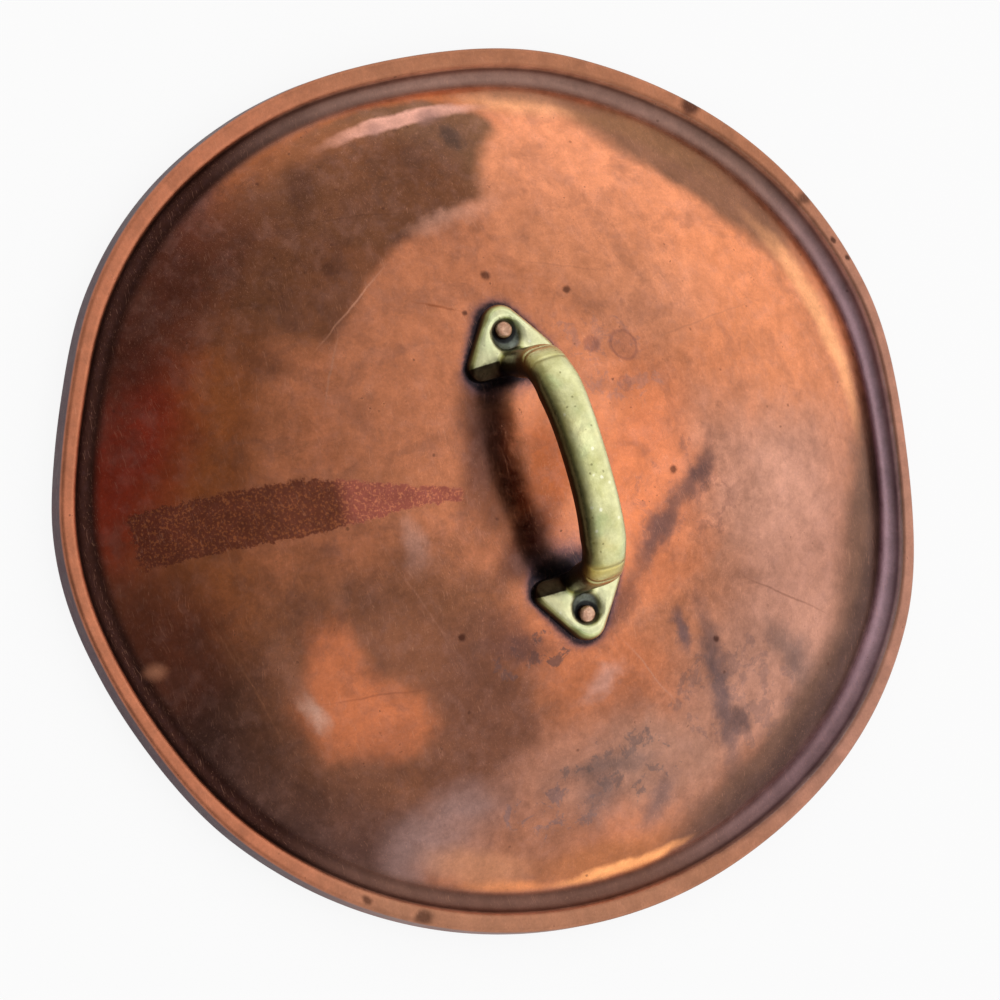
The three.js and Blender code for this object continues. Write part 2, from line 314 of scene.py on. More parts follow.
def foot_outline(inset, around):
    """How far the edge of the foot lies from the rivet in each direction: the rounded triangle is the belt
    round three circles, so along a ray it is the least of (reach of the circles along n) over (ray dot n)"""
    circles = np.array([
        (FOOT_TIP - FOOT_TIP_RADIUS, 0, FOOT_TIP_RADIUS),
        (FOOT_CORNER_RADIUS - FOOT_BASE, FOOT_WIDTH / 2 - FOOT_CORNER_RADIUS, FOOT_CORNER_RADIUS),
        (FOOT_CORNER_RADIUS - FOOT_BASE, FOOT_CORNER_RADIUS - FOOT_WIDTH / 2, FOOT_CORNER_RADIUS),
    ])
    facing = np.linspace(0, 2 * np.pi, BELT_DIRECTIONS, endpoint=False)
    normal = np.stack([np.cos(facing), np.sin(facing)], 1)
    reach = (normal @ circles[:, :2].T + circles[:, 2] - inset).max(1)
    ray = np.stack([np.cos(around), np.sin(around)], 1)
    dot = ray @ normal.T
    return np.where(dot > LEAST_DOT, reach / np.maximum(dot, LEAST_DOT), np.inf).min(1)


# Lid sheet: its beaten top is even near the rivets and the rim, over the distances given
DENT_HEIGHT = 0.13
EVEN_SEAT = (10, 26)
EVEN_RIM = (128, 135)
upper = sheet_line(0, DOME_STEPS, ARC_STEPS)
lower = sheet_line(SHEET_THICKNESS, UNDER_DOME_STEPS, UNDER_ARC_STEPS)
line = np.concatenate([upper[1:], lower[:0:-1]])
rows = spun(line, AROUND)
x, y, r = rows[..., 0], rows[..., 1], np.hypot(rows[..., 0], rows[..., 1])
uneven = ripples(x, y, count=22, shortest=24, longest=90, seed=5) * DENT_HEIGHT
from_rivets = np.hypot(np.abs(x - HANDLE_OFF_CENTRE) - RIVET_SPACING / 2, y)
dented = out_of_round(rows)
dented[..., 2] += uneven * unit_step(from_rivets, *EVEN_SEAT) * (1 - unit_step(r, *EVEN_RIM))
points, faces = skin(dented, (0, 0, APEX), (0, 0, APEX - SHEET_THICKNESS))
lid = make_piece("lid_sheet", points, faces, "lid_body")
run = np.concatenate([[0], np.cumsum(np.hypot(*np.diff(upper, axis=0).T))])
along = np.concatenate([run[1:], np.full(len(lower) - 1, run[-1])])
give(lid.data, "along", np.concatenate([[0], np.repeat(along, AROUND), [run[-1]]]) * MM)


def past_foot(x, y, i):
    """How far a point of the dome, measured from its axis, lies outside a foot's edge"""
    side = (-1, 1)[i]
    local_x, local_y = (x - rivet_at[i]) * side, y * side
    away = np.hypot(local_x, local_y)
    return away - foot_outline(0, np.arctan2(local_y, local_x))


# How far from the middle the handle's grime and painted shade can lie, how far they reach round the feet, and
# how much further under the grip, where its shade falls
HANDLE_REACH = 85
GRIME_AND_SHADE_REACH = 2.3
GRIME_AND_SHADE_UNDER_GRIP = (2.4, 6.4)
near_feet = np.zeros(len(points))
on_dome = np.flatnonzero(np.hypot(points[:, 0], points[:, 1]) < HANDLE_REACH)
x, y, _ = points[on_dome].T
for i in range(2):
    gap = past_foot(x, y, i)
    toward = (rivet_at[i] - x) * (-1, 1)[i]
    under_grip = unit_step(toward, FOOT_BASE - 3, FOOT_BASE) * unit_step(np.abs(y), 17, 10)
    reach = GRIME_AND_SHADE_REACH + GRIME_AND_SHADE_UNDER_GRIP[i] * under_grip
    near_feet[on_dome] = np.maximum(near_feet[on_dome], np.exp(-(np.maximum(gap, 0) / reach) ** 1.5))
give(lid.data, "near_feet", near_feet)

# The underside is tinned: the rows of faces past the upper line, and the ring that closes the middle
count = np.arange(len(faces))
steps = len(line)
row_of = np.where(count < (steps - 1) * AROUND, count // AROUND, steps)
row_of[(steps - 1) * AROUND:steps * AROUND] = 0
lid.data.polygons.foreach_set("material_index", (row_of >= len(upper) - 1).astype(np.int32))


def catmull_rom(knots, steps):
    """A centripetal Catmull-Rom line through knots, at equal lengths: between two knots it is a cubic whose
    end slopes weigh the spans on both sides by the square root of their lengths"""
    knots = np.concatenate([[2 * knots[0] - knots[1]], knots, [2 * knots[-1] - knots[-2]]])
    span = np.sqrt(np.linalg.norm(np.diff(knots, axis=0), axis=1))[:, None]
    p0, p1, p2, p3 = knots[:-3], knots[1:-2], knots[2:-1], knots[3:]
    d0, d1, d2 = span[:-2], span[1:-1], span[2:]
    start = ((p1 - p0) / d0 - (p2 - p0) / (d0 + d1) + (p2 - p1) / d1) * d1
    end = ((p2 - p1) / d1 - (p3 - p1) / (d1 + d2) + (p3 - p2) / d2) * d1
    t = np.linspace(0, 1, SPAN_STEPS, endpoint=False)[None, :, None]
    curve = (
        p1[:, None] + start[:, None] * t + (3 * (p2 - p1) - 2 * start - end)[:, None] * t ** 2
        + (2 * (p1 - p2) + start + end)[:, None] * t ** 3
    ).reshape(-1, knots.shape[1])
    curve = np.concatenate([curve, knots[-2:-1]])
    run = np.concatenate([[0], np.cumsum(np.linalg.norm(np.diff(curve, axis=0), axis=1))])
    at = np.linspace(0, run[-1], steps + 1)
    return np.stack([np.interp(at, run, curve[:, k]) for k in range(curve.shape[1])], 1)


def stand(points, i):
    """Turns points from a rivet's own axis about Y and moves them to where the rivet stands"""
    c, s = math.cos(rivet_lean[i]), math.sin(rivet_lean[i])
    x, y, z = points[..., 0], points[..., 1], points[..., 2]
    return np.stack([c * x + s * z + rivet_at[i], y, c * z - s * x + rivet_level[i]], -1)


def from_rivet(points, i):
    """Points in a rivet's own axes: stand() undone, with the tip of the foot towards +x"""
    c, s = math.cos(rivet_lean[i]), math.sin(rivet_lean[i])
    x, z = points[:, 0] - rivet_at[i], points[:, 2] - rivet_level[i]
    side = (-1, 1)[i]
    return np.stack([(c * x - s * z) * side, points[:, 1] * side, s * x + c * z], 1)


def grip_skin():
    """Grip and legs: a soft-cornered section, a circle whose coordinates are raised to a power, carried along
    the arched line. It is widest at the shoulders, by a bell curve, and narrows down the legs"""
    crown = rivet_level[0] + GRIP_HEIGHT
    shoulder = crown - GRIP_RISE
    seat = rivet_level[0]
    leg = RIVET_SPACING / 2 - LEG_SET_IN
    top = leg - LEG_LEAN
    half = np.array([
        (leg, seat - 2), (leg - LEG_LEAN * KNEE_SHARE, seat + (shoulder - seat) * KNEE_SHARE),
        (top, shoulder - GRIP_THICKNESS / 2), (top - GRIP_THICKNESS / 2, shoulder),
        (top / 2, crown - GRIP_RISE * GRIP_FALL_SHARE),
    ])
    knots = np.concatenate([half * (-1, 1), [(0, crown)], half[::-1]]) + (HANDLE_OFF_CENTRE, 0)
    line = catmull_rom(knots, GRIP_STEPS)
    tangent = np.gradient(line, axis=0)
    tangent /= np.linalg.norm(tangent, axis=1)[:, None]
    out = np.stack([-tangent[:, 1], tangent[:, 0]], 1)
    share = np.linspace(0, 1, len(line))
    share = np.minimum(share, 1 - share)
    drop = 1 - unit_step(share, 0, LEG_SHARE)
    swell = np.exp(-((share - SWELL_AT_SHARE) / SWELL_SPREAD_SHARE) ** 2)
    width = (GRIP_WIDTH + (LEG_WIDTH - GRIP_WIDTH) * drop + (SHOULDER_WIDTH - GRIP_WIDTH) * swell) / 2
    depth = (GRIP_THICKNESS + (LEG_THICKNESS - GRIP_THICKNESS) * drop) / 2
    turn = np.linspace(0, 2 * np.pi, GRIP_AROUND, endpoint=False)
    soft = lambda value: np.sign(value) * np.abs(value) ** SECTION_POWER
    thick = depth[:, None] * soft(np.cos(turn))
    rows = np.stack([
        line[:, None, 0] + out[:, None, 0] * thick, width[:, None] * soft(np.sin(turn)),
        line[:, None, 1] + out[:, None, 1] * thick,
    ], -1)
    ends = [(line[k, 0], 0, line[k, 1]) for k in (0, -1)]
    return skin(rows, *ends)


def soft_lower(a, b, width):
    """The lower of two levels, with a soft change where they lie within half the width of each other: each
    counts by its share t of the width, less half the width times t (1 - t)"""
    t = np.clip(0.5 + (a - b) / width, 0, 1)
    return a * (1 - t) + b * t - width / 2 * t * (1 - t)


def foot_skin(i):
    """One foot: rings shrink from the outline over a rounded edge to the middle. The top is the lowest of the
    pillowed face, a slope down to a thin lip on the side under the grip, and a ball's inside"""
    around = np.linspace(0, 2 * np.pi, FOOT_AROUND, endpoint=False)
    ray = np.stack([np.cos(around), np.sin(around)], 1)
    ring = lambda inset, level: np.concatenate([
        ray * foot_outline(inset, around)[:, None], np.full((len(around), 1), level),
    ], 1)
    edge = FOOT_THICKNESS - FOOT_EDGE_ROUND
    rows = [ring(0, -FOOT_ROOT), ring(0, (edge - FOOT_ROOT) / 2), ring(0, edge / 2)]
    for turn in np.radians(np.linspace(0, 90, EDGE_RINGS)):
        rows.append(ring(FOOT_EDGE_ROUND * (1 - math.cos(turn)), edge + FOOT_EDGE_ROUND * math.sin(turn)))
    side = (-1, 1)[i]
    for ring_of in rows[3:]:
        ring_of[:, 2] -= FOOT_PILLOW * (ring_of[:, 1] * 2 / FOOT_WIDTH) ** 2
    last = rows[-1].copy()
    for share in np.linspace(1, 0, TOP_RINGS, endpoint=False)[1:]:
        rows.append(np.stack([
            last[:, 0] * share, last[:, 1] * share,
            FOOT_THICKNESS - FOOT_PILLOW * (last[:, 1] * share * 2 / FOOT_WIDTH) ** 2,
        ], 1))
    rows = np.stack(rows)
    ball = (BOWL_RADIUS ** 2 + BOWL_DEPTH ** 2) / (2 * BOWL_DEPTH)
    away = np.hypot(rows[..., 0] + BOWL_SET_IN, rows[..., 1])
    dish = FOOT_THICKNESS - BOWL_DEPTH + ball - np.sqrt(np.maximum(ball ** 2 - away ** 2, 0))
    top = rows[..., 2]
    bowled = (away < ball) & (np.arange(len(rows)) >= FIRST_BOWL_RING)[:, None]
    top = np.where(bowled, np.minimum(top, soft_lower(top, dish, BOWL_BLEND)), top)
    down = np.maximum(FOOT_THICKNESS + FOOT_SLOPE * (rows[..., 0] + FOOT_FLAT), FOOT_LIP)
    rows[..., 2] = np.minimum(top, soft_lower(top, down, FOOT_SLOPE_BLEND))
    middle = rows[-1].mean(0)
    points, faces = skin(rows, (0, 0, -FOOT_ROOT), middle)
    return stand(points * (side, side, 1), i), faces


def sheet_top(x, y):
    """The dome's level under a point, with the lid's oval taken out of its distance from the axis"""
    turn = np.arctan2(y, x)
    grown = 1 + DOME_OVAL_SHARE * np.cos(2 * (turn - math.radians(DOME_OVAL_ABOUT)))
    return dome_level(np.hypot(x, y) / grown)


def solid_lump(parts):
    """Several closed skins as one mesh"""
    points, faces, count = [], [], 0
    for some, corners in parts:
        points.append(some)
        faces += [[count + k for k in face] for face in corners]
        count += len(some)
    return np.concatenate(points), faces


# Brass handle: grip, legs and feet grown into one casting that reaches a little into the dome
SINK = 0.3
SEAM_FACTOR, SEAM_STEPS = 0.5, 8

# Easing of the casting at a ring round each leg where it meets its foot, and at the corner under each
# shoulder, measured inwards from the leg and down from the crown. The pairs say how far from there it starts
# and is full
LEG_WAIST = 4.2
LEG_SQUASH = 0.7
CORNER_IN = 7
CORNER_BELOW = 12
CORNER_STRETCH = 1.2
JOIN_EASE = (7, 2)
CORNER_EASE = (7, 3)
EASE_STEPS = 150

# Crease lines across each shoulder, the angle round it and the depth, and how far each shoulder turns gold,
# rubbed bright and lit by a painted highlight
CREASES = ((6, 0.28), (47, 0.15))
CREASE_SPREAD = 4
GOLD_AND_SHEEN_SHARES = (0.25, 0.7)

# How far in from a rivet a foot ends and its leg begins, and how much cleaner a leg and a foot's top are,
# which also lightens their painted shade
LEG_BEGINS = (-18, -16)
CLEANER_LEG = 0.45
CLEANER_TOP = 0.15


def least_level(co):
    """The level below which the casting doesn't reach: a little under the dome's face"""
    x, y, _ = (co + TO_MIDDLE).T
    return sheet_top(x, y) - SINK


points, faces = solid_lump([grip_skin(), foot_skin(0), foot_skin(1)])
handle = make_piece("cast_handle", points, faces, "handle")
grow = handle.modifiers.new("grow together", "REMESH")
grow.mode = "VOXEL"
grow.voxel_size = VOXEL * MM
ease = handle.modifiers.new("ease the joins", "SMOOTH")
ease.factor = SEAM_FACTOR
ease.iterations = SEAM_STEPS
cast = bpy.data.meshes.new_from_object(handle.evaluated_get(bpy.context.evaluated_depsgraph_get()))
handle.modifiers.clear()
handle.data = cast
cast.name = "cast_handle"
co = np.zeros(len(cast.vertices) * 3, np.float32)
cast.vertices.foreach_get("co", co)
co = co.reshape(-1, 3).astype(float) / MM
floor_level = least_level(co)
co[:, 2] = np.maximum(co[:, 2], floor_level)
edges = np.zeros(len(cast.edges) * 2, np.int32)
cast.edges.foreach_get("vertices", edges)
one, other = edges.reshape(-1, 2).T
ties = np.bincount(edges, minlength=len(co))
loose = np.zeros(len(co))
for i in range(2):
    x, y, z = from_rivet(co + TO_MIDDLE, i).T
    join = np.hypot(z - FOOT_THICKNESS, np.hypot(x + LEG_SET_IN, y * LEG_SQUASH) - LEG_WAIST)
    corner = np.hypot(x + LEG_SET_IN + LEG_LEAN + CORNER_IN, z - GRIP_HEIGHT + CORNER_BELOW) / CORNER_STRETCH
    keep_bowl = unit_step(np.hypot(x + BOWL_SET_IN, y), BOWL_RADIUS - 2.4, BOWL_RADIUS + 0.2)
    loose = np.maximum(loose, unit_step(join, *JOIN_EASE) * keep_bowl)
    loose = np.maximum(loose, unit_step(corner, *CORNER_EASE))
for _ in range(EASE_STEPS):
    middle = np.stack([
        np.bincount(one, co[other, k], len(co)) + np.bincount(other, co[one, k], len(co)) for k in range(3)
    ], 1) / ties[:, None]
    co += (middle - co) / 2 * loose[:, None]
crease, gold_and_sheen = np.zeros((2, len(co)))
for i in range(2):
    inward = (rivet_at[i] - TO_MIDDLE[0] - co[:, 0]) * (-1, 1)[i]
    out_from = LEG_SET_IN + LEG_LEAN + GRIP_THICKNESS / 2 - inward
    up_from = co[:, 2] - rivet_level[i] - GRIP_HEIGHT + GRIP_RISE + GRIP_THICKNESS / 2
    angle, far = np.degrees(np.arctan2(up_from, out_from)), np.hypot(up_from, out_from)
    for at, depth in CREASES:
        cut = np.exp(-((angle - at) / CREASE_SPREAD) ** 2) * unit_step(far, 6, 8) * unit_step(far, 16, 13)
        crease = np.maximum(crease, cut)
        way = np.stack([out_from * (-1, 1)[i], 0 * far, up_from], 1) / far[:, None]
        co -= way * (cut * depth)[:, None]
    worn_and_lit = unit_step(angle, -14, 12) * unit_step(angle, 66, 40)
    worn_and_lit *= unit_step(far, 3, 7) * unit_step(far, 17, 14)
    gold_and_sheen = np.maximum(gold_and_sheen, worn_and_lit * GOLD_AND_SHEEN_SHARES[i])
co[:, 2] = np.maximum(co[:, 2], least_level(co))
cast.vertices.foreach_set("co", (co * MM).astype(np.float32).ravel())
cast.polygons.foreach_set("use_smooth", np.ones(len(cast.polygons), bool))
cast.update()

# Where the brass's finish changes, one number for each point
normals = np.zeros(len(co) * 3, np.float32)
cast.vertices.foreach_get("normal", normals)
normals = normals.reshape(-1, 3).astype(float)
# The bowls, the painted shadow beside each peg, and the painted shade on each foot's side under the grip
in_bowl, peg_shadow, inner_side = np.zeros((3, len(co)))
# How much a face looks up and towards +y, where the key light stands: it sets patina and painted shade
polish_and_light = normals @ (0, 0.45, 0.9)
for i in range(2):
    x, y, z = from_rivet(co + TO_MIDDLE, i).T
    sunk = unit_step(z, FOOT_THICKNESS + 0.2, FOOT_THICKNESS - 1.2)
    from_bowl = np.hypot(x + BOWL_SET_IN, y)
    in_bowl = np.maximum(in_bowl, sunk * unit_step(from_bowl, BOWL_RADIUS - 0.3, BOWL_RADIUS - 2.8))
    peg_shadow = np.maximum(peg_shadow, sunk * unit_step(np.hypot(x, y) - SHANK_RADIUS, 2.2, 0.5))
    on_foot = unit_step(x, *LEG_BEGINS)
    low_enough = unit_step(z, FOOT_THICKNESS + 1.4, FOOT_THICKNESS - 0.6) * on_foot
    low_enough *= unit_step(z, FOOT_LIP - 0.7, FOOT_LIP + 0.5) * 0.6 + 0.4
    past_flat = low_enough * unit_step(x, -FOOT_FLAT + 0.4, -FOOT_FLAT - 1.0)
    to_grip = normals[:, 0] * (-1, 1)[i]
    sloped = unit_step(to_grip, -0.3, -0.5) * unit_step(x, -FOOT_FLAT + 1.2, -FOOT_FLAT) * on_foot
    sloped *= unit_step(z, FOOT_THICKNESS + 1, FOOT_THICKNESS - 0.4) * unit_step(z, 0.9, 1.6)
    inner_side = np.maximum(inner_side, np.maximum(past_flat, sloped))
    near_leg = unit_step(z, 34, 27) * unit_step(z, 3, 5) * unit_step(np.abs(x + 10), 14, 11)
    foot_top = unit_step(z, 7, 5.6) * unit_step(normals[:, 2], 0.8, 0.95)
    polish_and_light += CLEANER_LEG * near_leg + CLEANER_TOP * foot_top
give(cast, "inner_side", inner_side)
give(cast, "polish_and_light", polish_and_light)
give(cast, "right_face", normals[:, 1])
give(cast, "crease", crease)
give(cast, "gold_and_sheen", gold_and_sheen)
give(cast, "in_bowl", in_bowl)
give(cast, "peg_shadow", peg_shadow)
give(cast, "above_dome", (co[:, 2] - floor_level - SINK) * MM)


def rivet_skin(i):
    """One rivet: a low round head under the sheet, a shank, and the closed end that stands in the bowl"""
    head_top = -SHEET_THICKNESS - RIVET_GAP
    head_low = head_top - RIVET_HEAD_HEIGHT
    ball = (RIVET_HEAD_RADIUS ** 2 + RIVET_HEAD_HEIGHT ** 2) / (2 * RIVET_HEAD_HEIGHT)
    half = math.degrees(math.asin(RIVET_HEAD_RADIUS / ball))
    end = (SHANK_RADIUS - RIVET_END_ROUND, RIVET_END_HEIGHT - RIVET_END_ROUND)
    head = arc((0, head_low + ball), ball, -90, half - 90, HEAD_STEPS)[1:]
    shank = np.linspace((SHANK_RADIUS, head_top), (SHANK_RADIUS, end[1]), SHANK_STEPS + 1)
    close = arc(end, RIVET_END_ROUND, 0, 90, CLOSE_STEPS)
    cap = np.linspace((end[0], RIVET_END_HEIGHT), (0, RIVET_END_HEIGHT), SHANK_STEPS + 1)[1:-1]
    line = np.concatenate([head, shank, close, cap])
    rows = spun(line, RIVET_AROUND)
    beaten = ripples(rows[..., 0], rows[..., 1], count=6, shortest=2.5, longest=6, seed=11 + i)
    rows[..., 2] += beaten * BEATEN_HEIGHT * unit_step(rows[..., 2], end[1] - 0.5, RIVET_END_HEIGHT)
    points, faces = skin(rows, (0, 0, head_low), (0, 0, RIVET_END_HEIGHT))
    from_end = np.where(points[:, 2] > 0, RIVET_END_HEIGHT - points[:, 2], 0)
    return stand(points, i), [face[::-1] for face in faces], from_end


rivet_pieces = []
for i in range(2):
    points, faces, from_end = rivet_skin(i)
    piece = make_piece(f"rivet_{i + 1}", points, faces, f"handle_rivet_{i + 1}")
    give(piece.data, "from_end", from_end * MM)
    rivet_pieces.append(piece)


# Finishes


def colour(red, green, blue):
    """A colour given as it looks on a screen, 0 to 255, as the light it stands for"""
    part = np.array([red, green, blue]) / 255
    light = np.where(part <= 0.04045, part / 12.92, ((part + 0.055) / 1.055) ** 2.4)
    return (*light.tolist(), 1.0)


class Board:
    """A node tree and short calls that add to it. An argument is a number, a colour or another node's output,
    and sizes are in millimetres"""

    def __init__(self, owner):
        owner.use_nodes = True
        self.tree = owner.node_tree
        self.tree.nodes.clear()

    def add(self, kind, sockets=(), **settings):
        """A node, its settings, and what its sockets hold or are joined to"""
        node = self.tree.nodes.new("ShaderNode" + kind)
        for name, value in settings.items():
            setattr(node, name, value)
        for name, value in dict(sockets).items():
            if isinstance(value, bpy.types.NodeSocket):
                self.tree.links.new(value, node.inputs[name])
            else:
                node.inputs[name].default_value = value
        return node

    def attribute(self, name):
        return self.add("Attribute", attribute_name=name).outputs["Fac"]

    def spot(self):
        """The place on the surface, in metres"""
        return self.add("TexCoord").outputs["Object"]

    def split(self, place):
        return self.add("SeparateXYZ", {0: place}).outputs

    def join(self, x, y):
        return self.add("CombineXYZ", {"X": x, "Y": y}).outputs[0]

    def calc(self, operation, a, b=0.0):
        return self.add("Math", {0: a, 1: b}, operation=operation).outputs[0]

    def times(self, a, b):
        return self.calc("MULTIPLY", a, b)

    def plus(self, a, b):
        return self.calc("ADD", a, b)

    def less(self, a, b):
        return self.calc("SUBTRACT", a, b)

    def larger(self, a, b):
        return self.calc("MAXIMUM", a, b)

    def vector(self, operation, a, b=(0, 0, 0), result="Vector"):
        return self.add("VectorMath", {0: a, 1: b}, operation=operation).outputs[result]

    def dot(self, a, b):
        return self.vector("DOT_PRODUCT", a, b, "Value")

    def scaled(self, a, share):
        return self.add("VectorMath", {0: a, "Scale": share}, operation="SCALE").outputs[0]

    def rise(self, value, low, high, start=0.0, end=1.0):
        """A smooth rise from start to end while value goes from low to high"""
        sockets = {"Value": value, "From Min": low, "From Max": high, "To Min": start, "To Max": end}
        return self.add("MapRange", sockets, interpolation_type="SMOOTHSTEP").outputs["Result"]

    def mix(self, share, a, b):
        return self.add("Mix", {0: share, 6: a, 7: b}, data_type="RGBA").outputs[2]

    def lay(self, tone, shade, share, strength=1):
        """Lays a screen colour over a tone: a strength of 1 hides the tone where the share is 1"""
        if strength != 1:
            share = self.times(share, strength)
        return self.mix(share, tone, colour(*shade))

    def noise(self, place, size, detail=3.0, rough=0.5, bend=0.0, result="Fac"):
        """Cloudy noise whose lumps are about the size across"""
        sockets = {"Vector": place, "Scale": 1 / (size * MM), "Detail": detail, "Roughness": rough}
        return self.add("TexNoise", {**sockets, "Distortion": bend}).outputs[result]

    def warp(self, place, size, amount):
        """The place pushed about by up to half of the amount, in lumps of a size"""
        push = self.vector("SUBTRACT", self.noise(place, size, 4, 0.6, result="Color"), (0.5, 0.5, 0.5))
        return self.vector("ADD", place, self.scaled(push, amount * MM))

    def away(self, place, middle, reach, turn=0):
        """How far a place lies from the middle of an ellipse: 1 is its edge. The step from the middle is
        measured along the two axes, each divided by its reach, and the two make a length"""
        step = self.vector("SUBTRACT", place, (middle[0] * MM, middle[1] * MM, 0))
        c, s = math.cos(math.radians(turn)), math.sin(math.radians(turn))
        first = (c / (reach[0] * MM), s / (reach[0] * MM), 0)
        second = (-s / (reach[1] * MM), c / (reach[1] * MM), 0)
        return self.vector("LENGTH", self.join(self.dot(step, first), self.dot(step, second)), result="Value")

    def zone(self, place, middle, reach, turn=0, soft=0.4):
        """1 inside an ellipse and 0 outside it. soft is the share of the reach that the edge takes to each
        side"""
        return self.rise(self.away(place, middle, reach, turn), 1 + soft, 1 - soft)

    def patch(self, tone, place, middle, reach, turn, soft, shade, strength):
        """Lays a screen colour over a tone inside an ellipse"""
        return self.lay(tone, shade, self.zone(place, middle, reach, turn, soft), strength)

    def cells(self, place, size):
        """Cells of a size: how far a place lies from its cell's point, and the cell's random numbers"""
        node = self.add("TexVoronoi", {"Vector": place, "Scale": 1 / (size * MM)})
        return node.outputs["Distance"], self.add("SeparateColor", {0: node.outputs["Color"]}).outputs

    def dots(self, cells, edge, full, share_without, channel=0):
        """A dot at each cell's point, but for the share of the cells that go without"""
        away, luck = cells
        with_dot = self.rise(luck[channel], share_without, share_without + 0.04)
        return self.times(self.rise(away, edge, full), with_dot)

    def bump(self, height, strength, depth, under=None):
        """Bumps of a depth, over the bumps of another node if there is one"""
        sockets = {"Strength": strength, "Distance": depth * MM, "Height": height}
        if under:
            sockets["Normal"] = under
        return self.add("Bump", sockets).outputs[0]

    def metal(self, tone, rough, normal):
        """Ends a tree with a metal"""
        sockets = {"Base Color": tone, "Metallic": 1.0, "Roughness": rough, "Normal": normal}
        self.add("OutputMaterial", {"Surface": self.add("BsdfPrincipled", sockets).outputs[0]})


def new_finish(name):
    """A material, and the board of its nodes"""
    finish = bpy.data.materials.new(name)
    return finish, Board(finish)


# Places along the sheet's line: where the dome ends, and a step past the wall, the flange and the outer fold
wall_step = DOME_STEPS + 2 * ARC_STEPS + WALL_STEPS + 1
flange_step = wall_step + ARC_STEPS + FLANGE_STEPS
skirt_step = flange_step + ARC_STEPS
DOME_END, WALL_END, FLANGE_END, SKIRT_START = run[[DOME_STEPS, wall_step, flange_step, skirt_step]]

# The rolled-out rim: where it is cut open, and the radius at which its length is true
RIM_SEAM = 305
RIM_RADIUS = 140


def at_rim(degrees, along):
    """A place on the rolled-out rim: the length round it from opposite the seam, and along the section"""
    return math.radians((degrees - RIM_SEAM) % 360 - 180) * RIM_RADIUS, along


# Outside of the lid: worn and tarnished copper
copper, board = new_finish("worn_copper")
spot = board.spot()
reach_along = board.attribute("along")
to_seam = (0, 0, math.radians(180 - RIM_SEAM))
x, y, _ = board.split(board.add("Mapping", {"Vector": spot, "Rotation": to_seam}).outputs[0])
rim_spot = board.join(board.times(board.calc("ARCTAN2", y, x), RIM_RADIUS * MM), reach_along)
warped = board.warp(spot, 34, 26)
drawn_edge = board.warp(spot, 24, 9)
ragged = board.warp(spot, 7, 9)
rim_warped = board.warp(rim_spot, 16, 7)
mottle = board.noise(spot, 26, 6, 0.62)
cloud = board.noise(spot, 60, 4, 0.55)
fine = board.noise(spot, 3.4, 5, 0.7)
tone = board.mix(board.rise(cloud, 0.35, 0.65), colour(158, 90, 54), colour(176, 104, 66))

# Broad tones of the dome, partly tarnish and partly painted reflections of the room, darker towards -y:
# middle, reach, turn, soft edge, colour and strength. Those with a crisp edge are pushed about less
CRISP = 0.2
BROAD_TONES_AND_REFLECTIONS = [
    ((-90, -42), (48, 34), 110, 0.5, (140, 82, 52), 0.9),
    ((-99, -14), (50, 26), 96, 0.3, (122, 80, 60), 0.95),
    ((-84, -46), (38, 25), 114, 0.4, (122, 74, 50), 0.8),
    ((-42, -101), (14, 28), 73, 0.6, (176, 98, 54), 0.6),
    ((18, 40), (135, 143), 75, 0.05, (198, 122, 86), 1),
    ((14, 70), (67, 80), 76, 0.5, (178, 116, 86), 0.85),
    ((-107, -11), (40, 24), 91, 0.06, (116, 80, 58), 1),
    ((-90, -33), (44, 34), 101, 0.15, (112, 70, 48), 0.9),
    ((-21, 13), (73, 69), 76, 0.04, (194, 121, 86), 0.96),
    ((-84, 56), (45, 36), 79, 0.1, (216, 138, 100), 0.9),
    ((50, 86), (28, 44), 75, 0.6, (164, 118, 102), 0.8),
    ((85, 64), (33, 22), 97, 0.6, (152, 114, 100), 0.7),
    ((-42, 93), (40, 30), 47, 0.6, (214, 132, 90), 0.8),
    ((-49, -125), (22, 46), 72, 0.6, (146, 54, 36), 1),
    ((-88, -100), (19, 42), 34, 0.5, (92, 50, 38), 0.95),
    ((-117, -78), (16, 8), 116, 0.6, (100, 66, 62), 0.7),
    ((50, -118), (60, 21), 24, 0.5, (80, 52, 44), 1),
    ((88, -92), (42, 20), 48, 0.5, (100, 70, 62), 0.95),
    ((15, -125), (20, 18), 73, 0.6, (118, 62, 42), 0.7),
    ((50, -61), (47, 42), 73, 0.35, (130, 84, 62), 0.9),
    ((73, -40), (15, 30), 84, 0.5, (124, 80, 62), 0.9),
    ((100, -56), (20, 12), 98, 0.6, (170, 136, 130), 0.75),
    ((56, -74), (19, 13), 59, 0.4, (206, 120, 80), 0.95),
    ((38, -78), (9, 14), 81, 0.5, (206, 120, 80), 0.9),
    ((97, -8), (24, 17), 81, 0.6, (168, 122, 104), 0.8),
    ((102, 22), (24, 17), 56, 0.6, (156, 118, 102), 0.75),
    ((76, 66), (33, 24), 98, 0.6, (176, 126, 106), 0.7),
    ((20, 76), (30, 24), 76, 0.7, (200, 146, 124), 0.7),
    ((-46, 57), (22, 16), 78, 0.7, (208, 140, 108), 0.5),
    ((8, 36), (20, 32), 75, 0.6, (202, 114, 72), 0.6),
    ((0, 3), (10, 24), 60, 0.5, (150, 80, 46), 0.85),
    ((60, 3), (28, 15), 56, 0.6, (204, 120, 80), 0.6),
    ((-65, 40), (28, 15), 78, 0.7, (196, 126, 90), 0.5),
    ((113, -31), (22, 10), 71, 0.6, (150, 100, 78), 0.8),
]
for row in BROAD_TONES_AND_REFLECTIONS:
    tone = board.patch(tone, warped if row[3] > CRISP else drawn_edge, *row)

